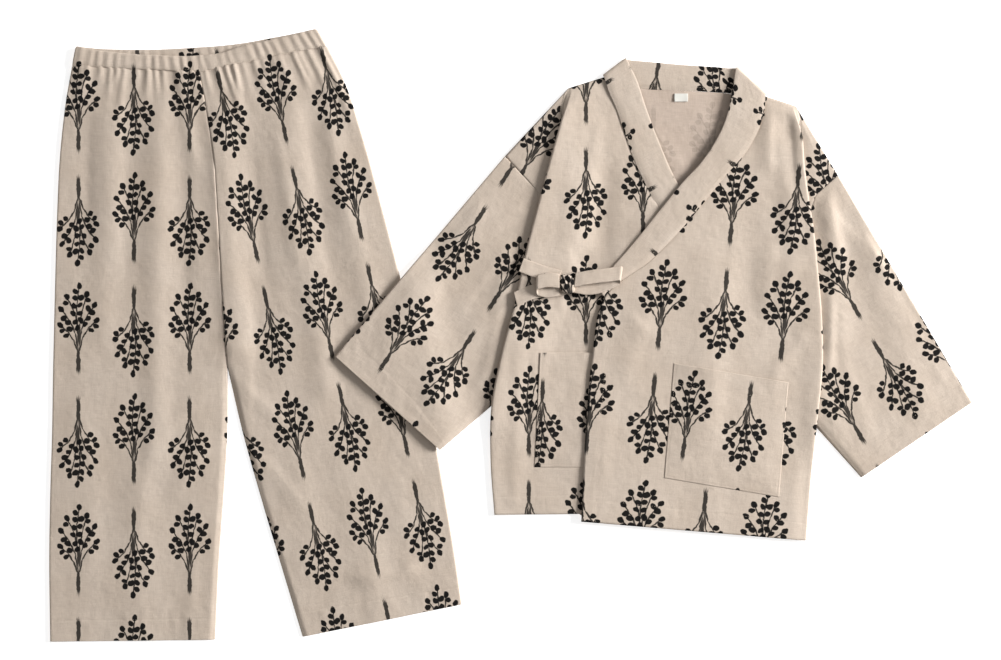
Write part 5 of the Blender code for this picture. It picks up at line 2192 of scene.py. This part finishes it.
RIGHT_LEG_CREASES = (
    Crease(-12, 18, -2, 110, 7, 1.17, 3, 0.25),
    Crease(-18, 60, -10, 290, 10, -1.01, 3, 0.2),
    Crease(-70, 30, -74, 250, 10, -0.86, 4, -0.2),
    Crease(-118, 30, -124, 210, 8, -0.78, -3, 0.2),
    Crease(-30, 320, -66, 540, 15, 0.86, 12, 0.3),
    Crease(-126, 320, -116, 570, 13, 0.78, -6, 0.3),
    Crease(18, 378, -34, 470, 10, 0.86, 6, 0.3),
    Crease(22, 330, -44, 392, 9, 0.94, 6, 0.3),
    Crease(-2, 500, -10, 600, 8, 0.62, 2, 0.3),
)
LEFT_LEG_CREASES = (
    Crease(68, 20, 106, 240, 9, 1.33, -5, 0.25),
    Crease(52, 40, 78, 260, 9, -0.94, 4, 0.2),
    Crease(112, 20, 146, 250, 8, -0.86, 4, -0.2),
    Crease(132, 16, 160, 180, 7, 0.78, 3, 0.2),
    Crease(40, 190, 48, 390, 11, 1.09, -6, 0.35),
    Crease(78, 330, 128, 560, 14, 0.86, -8, 0.3),
    Crease(44, 392, 116, 470, 9, 0.94, -6, 0.3),
    Crease(206, 400, 230, 556, 12, 0.78, 4, 0.3),
    Crease(34, 326, 96, 380, 9, 1.01, -5, 0.3),
    Crease(148, 533, 240, 515, 7, 2.4, 3, 0.3),
)
RIGHT_SLEEVE_RIDGES = (Ridge(-215, 135, -310, 262, 17, 1.5), Ridge(-190, 210, -262, 318, 16, 1.3))
RIGHT_SLEEVE_CREASES = (
    Crease(-168, 150, -250, 262, 10, 0.8, 6, 0.3),
    Crease(-240, 170, -330, 300, 11, 0.6, -8, 0.3),
    Crease(-172, 250, -230, 320, 9, 0.9, -4, 0.3),
    Crease(-158, 120, -205, 150, 7, 0.7, 3, 0.3),
    Crease(-182, 150, -214, 330, 9, 1.2, -4, 0.0),
)
LEFT_SLEEVE_RIDGES = (Ridge(152, 140, 166, 262, 12, 1.8), Ridge(196, 170, 252, 330, 17, 1.5))
LEFT_SLEEVE_CREASES = (
    Crease(150, 92, 170, 196, 9, 2.1, 3, 0.25),
    Crease(153, 198, 151, 318, 7, 2.2, -2, 0.2),
    Crease(192, 110, 218, 210, 10, 1.1, 4, 0.2),
    Crease(160, 250, 205, 380, 11, 0.8, 5, 0.3),
    Crease(220, 220, 285, 330, 10, 0.7, -5, 0.3),
    Crease(150, 120, 200, 170, 8, 0.8, 4, 0.3),
    Crease(142, 300, 170, 370, 8, 0.8, 3, -0.3),
)


@dataclass
class Trousers:
    """The elastic-waist trousers."""

    def build(self, room: Workroom) -> list[bpy.types.Object]:
        """Builds the legs and the casing.

        Args:
            room: the workroom.

        Returns:
            The pieces.
        """
        pieces = (
            TrouserLeg("trouser_right_leg", RIGHT_LEG, RIGHT_LEG_LAY, RIGHT_LEG_CREASES, 101),
            TrouserLeg("trouser_left_leg", LEFT_LEG, LEFT_LEG_LAY, LEFT_LEG_CREASES, 131),
            WaistCasing(),
        )
        return [piece.build(room) for piece in pieces]


@dataclass
class Jacket:
    """The wrap jacket with its bow."""

    def build(self, room: Workroom) -> list[bpy.types.Object]:
        """Builds the panels, the band, the pockets, the bow and the label.

        Args:
            room: the workroom.

        Returns:
            The pieces.
        """
        pieces = [
            JacketBack(),
            JacketFront("jacket_right_front", RIGHT_SHAPE),
            JacketFront("jacket_left_front", LEFT_SHAPE),
            Sleeve(
                "right_sleeve", RIGHT_SHAPE, ((-365, 280), (-255, 378)), RIGHT_SLEEVE_RIDGES,
                RIGHT_SLEEVE_CREASES, PrintLay(-293, 256, -33), 201, True, ("trouser_left_leg",),
            ),
            Sleeve(
                "left_sleeve", LEFT_SHAPE, ((303, 328), (187, 407)), LEFT_SLEEVE_RIDGES,
                LEFT_SLEEVE_CREASES, PrintLay(163, 199, 29.5), 211,
            ),
            Neckband(),
            PatchPocket(
                "right_pocket", RIGHT_SHAPE, -150, 276, -29, 276, 120, -6,
                PrintLay(-143, 231, -3), "jacket_right_front",
            ),
            PatchPocket(
                "left_pocket", LEFT_SHAPE, -10, 287, 110, 307, 120, -10,
                PrintLay(5, 341, -8), "jacket_left_front", seed=67,
            ),
            Tie("tie_right_loop", RIGHT_LOOP, -8, PrintLay(0, 57)),
            Tie("tie_left_loop", LEFT_LOOP, 0, PrintLay(40, 57), seed=72),
            Tie("tie_upper_tail", UPPER_TAIL, -20, PrintLay(-20, 57), seed=73),
            Tie("tie_lower_tail", LOWER_TAIL, 15, PrintLay(-10, 60), seed=74),
            Tie("tie_band_end", BAND_TIE, -8, PrintLay(0, 57), seed=75),
            TieKnot(),
            SizeLabel(),
        ]
        return [piece.build(room) for piece in pieces]


@dataclass(frozen=True)
class Studio:
    """The pale floor, the soft light and the camera straight above.

    The floor's and the light's sizes and places are in metres.
    """

    centre: tuple[float, float] = (-10.5, 5.5)
    frame_width: float = 1051.0
    lens: float = 85.0
    sensor: float = 36.0
    key_power: float = 560.0
    key_size: float = 1.7
    key_place: tuple[float, float, float] = (4.64, 1.16, 2.03)
    fill: float = 0.34
    floor_size: float = 8.0
    floor_gap: float = 0.0002

    def build(self) -> None:
        """Builds the studio."""
        bpy.ops.object.select_all(action="DESELECT")
        bpy.ops.mesh.primitive_plane_add(size=self.floor_size, location=(0, 0, -self.floor_gap))
        floor = bpy.context.object
        floor.name = "studio_floor"
        material = bpy.data.materials.new("pale_floor")
        material.use_nodes = True
        shader = material.node_tree.nodes["Principled BSDF"]
        shader.inputs["Base Color"].default_value = (0.93, 0.93, 0.93, 1)
        shader.inputs["Roughness"].default_value = 0.9
        shader.inputs["Emission Color"].default_value = (1, 1, 1, 1)
        shader.inputs["Emission Strength"].default_value = 0.62
        floor.data.materials.append(material)
        world = bpy.data.worlds.new("studio_world")
        world.use_nodes = True
        background = world.node_tree.nodes["Background"]
        background.inputs["Color"].default_value = (1.0, 1.0, 1.0, 1)
        background.inputs["Strength"].default_value = self.fill
        bpy.context.scene.world = world
        light = bpy.data.lights.new("key_light", "AREA")
        light.size = self.key_size
        light.energy = self.key_power
        key = bpy.data.objects.new("key_light", light)
        key.location = self.key_place
        key.rotation_euler = (-Vector(key.location)).to_track_quat("-Z", "Y").to_euler()
        bpy.context.scene.collection.objects.link(key)
        camera = bpy.data.objects.new("camera", bpy.data.cameras.new("camera"))
        camera.data.lens = self.lens
        camera.data.sensor_width = self.sensor
        camera.data.sensor_fit = "HORIZONTAL"
        x, y = self.centre
        height = self.lens / self.sensor * self.frame_width
        camera.location = (x * MM, y * MM, height * MM)
        bpy.context.scene.collection.objects.link(camera)
        bpy.context.scene.camera = camera
        bpy.context.scene.view_settings.view_transform = "Standard"


def main() -> None:
    """Builds the set and the studio."""
    logging.basicConfig(level=logging.INFO, format="%(name)s: %(message)s")
    room = Workroom()
    for garment in (Trousers(), Jacket()):
        for piece in garment.build(room):
            LOG.info("%s: %d faces", piece.name, len(piece.data.polygons))
    Studio().build()


if __name__ == "__main__":
    main()
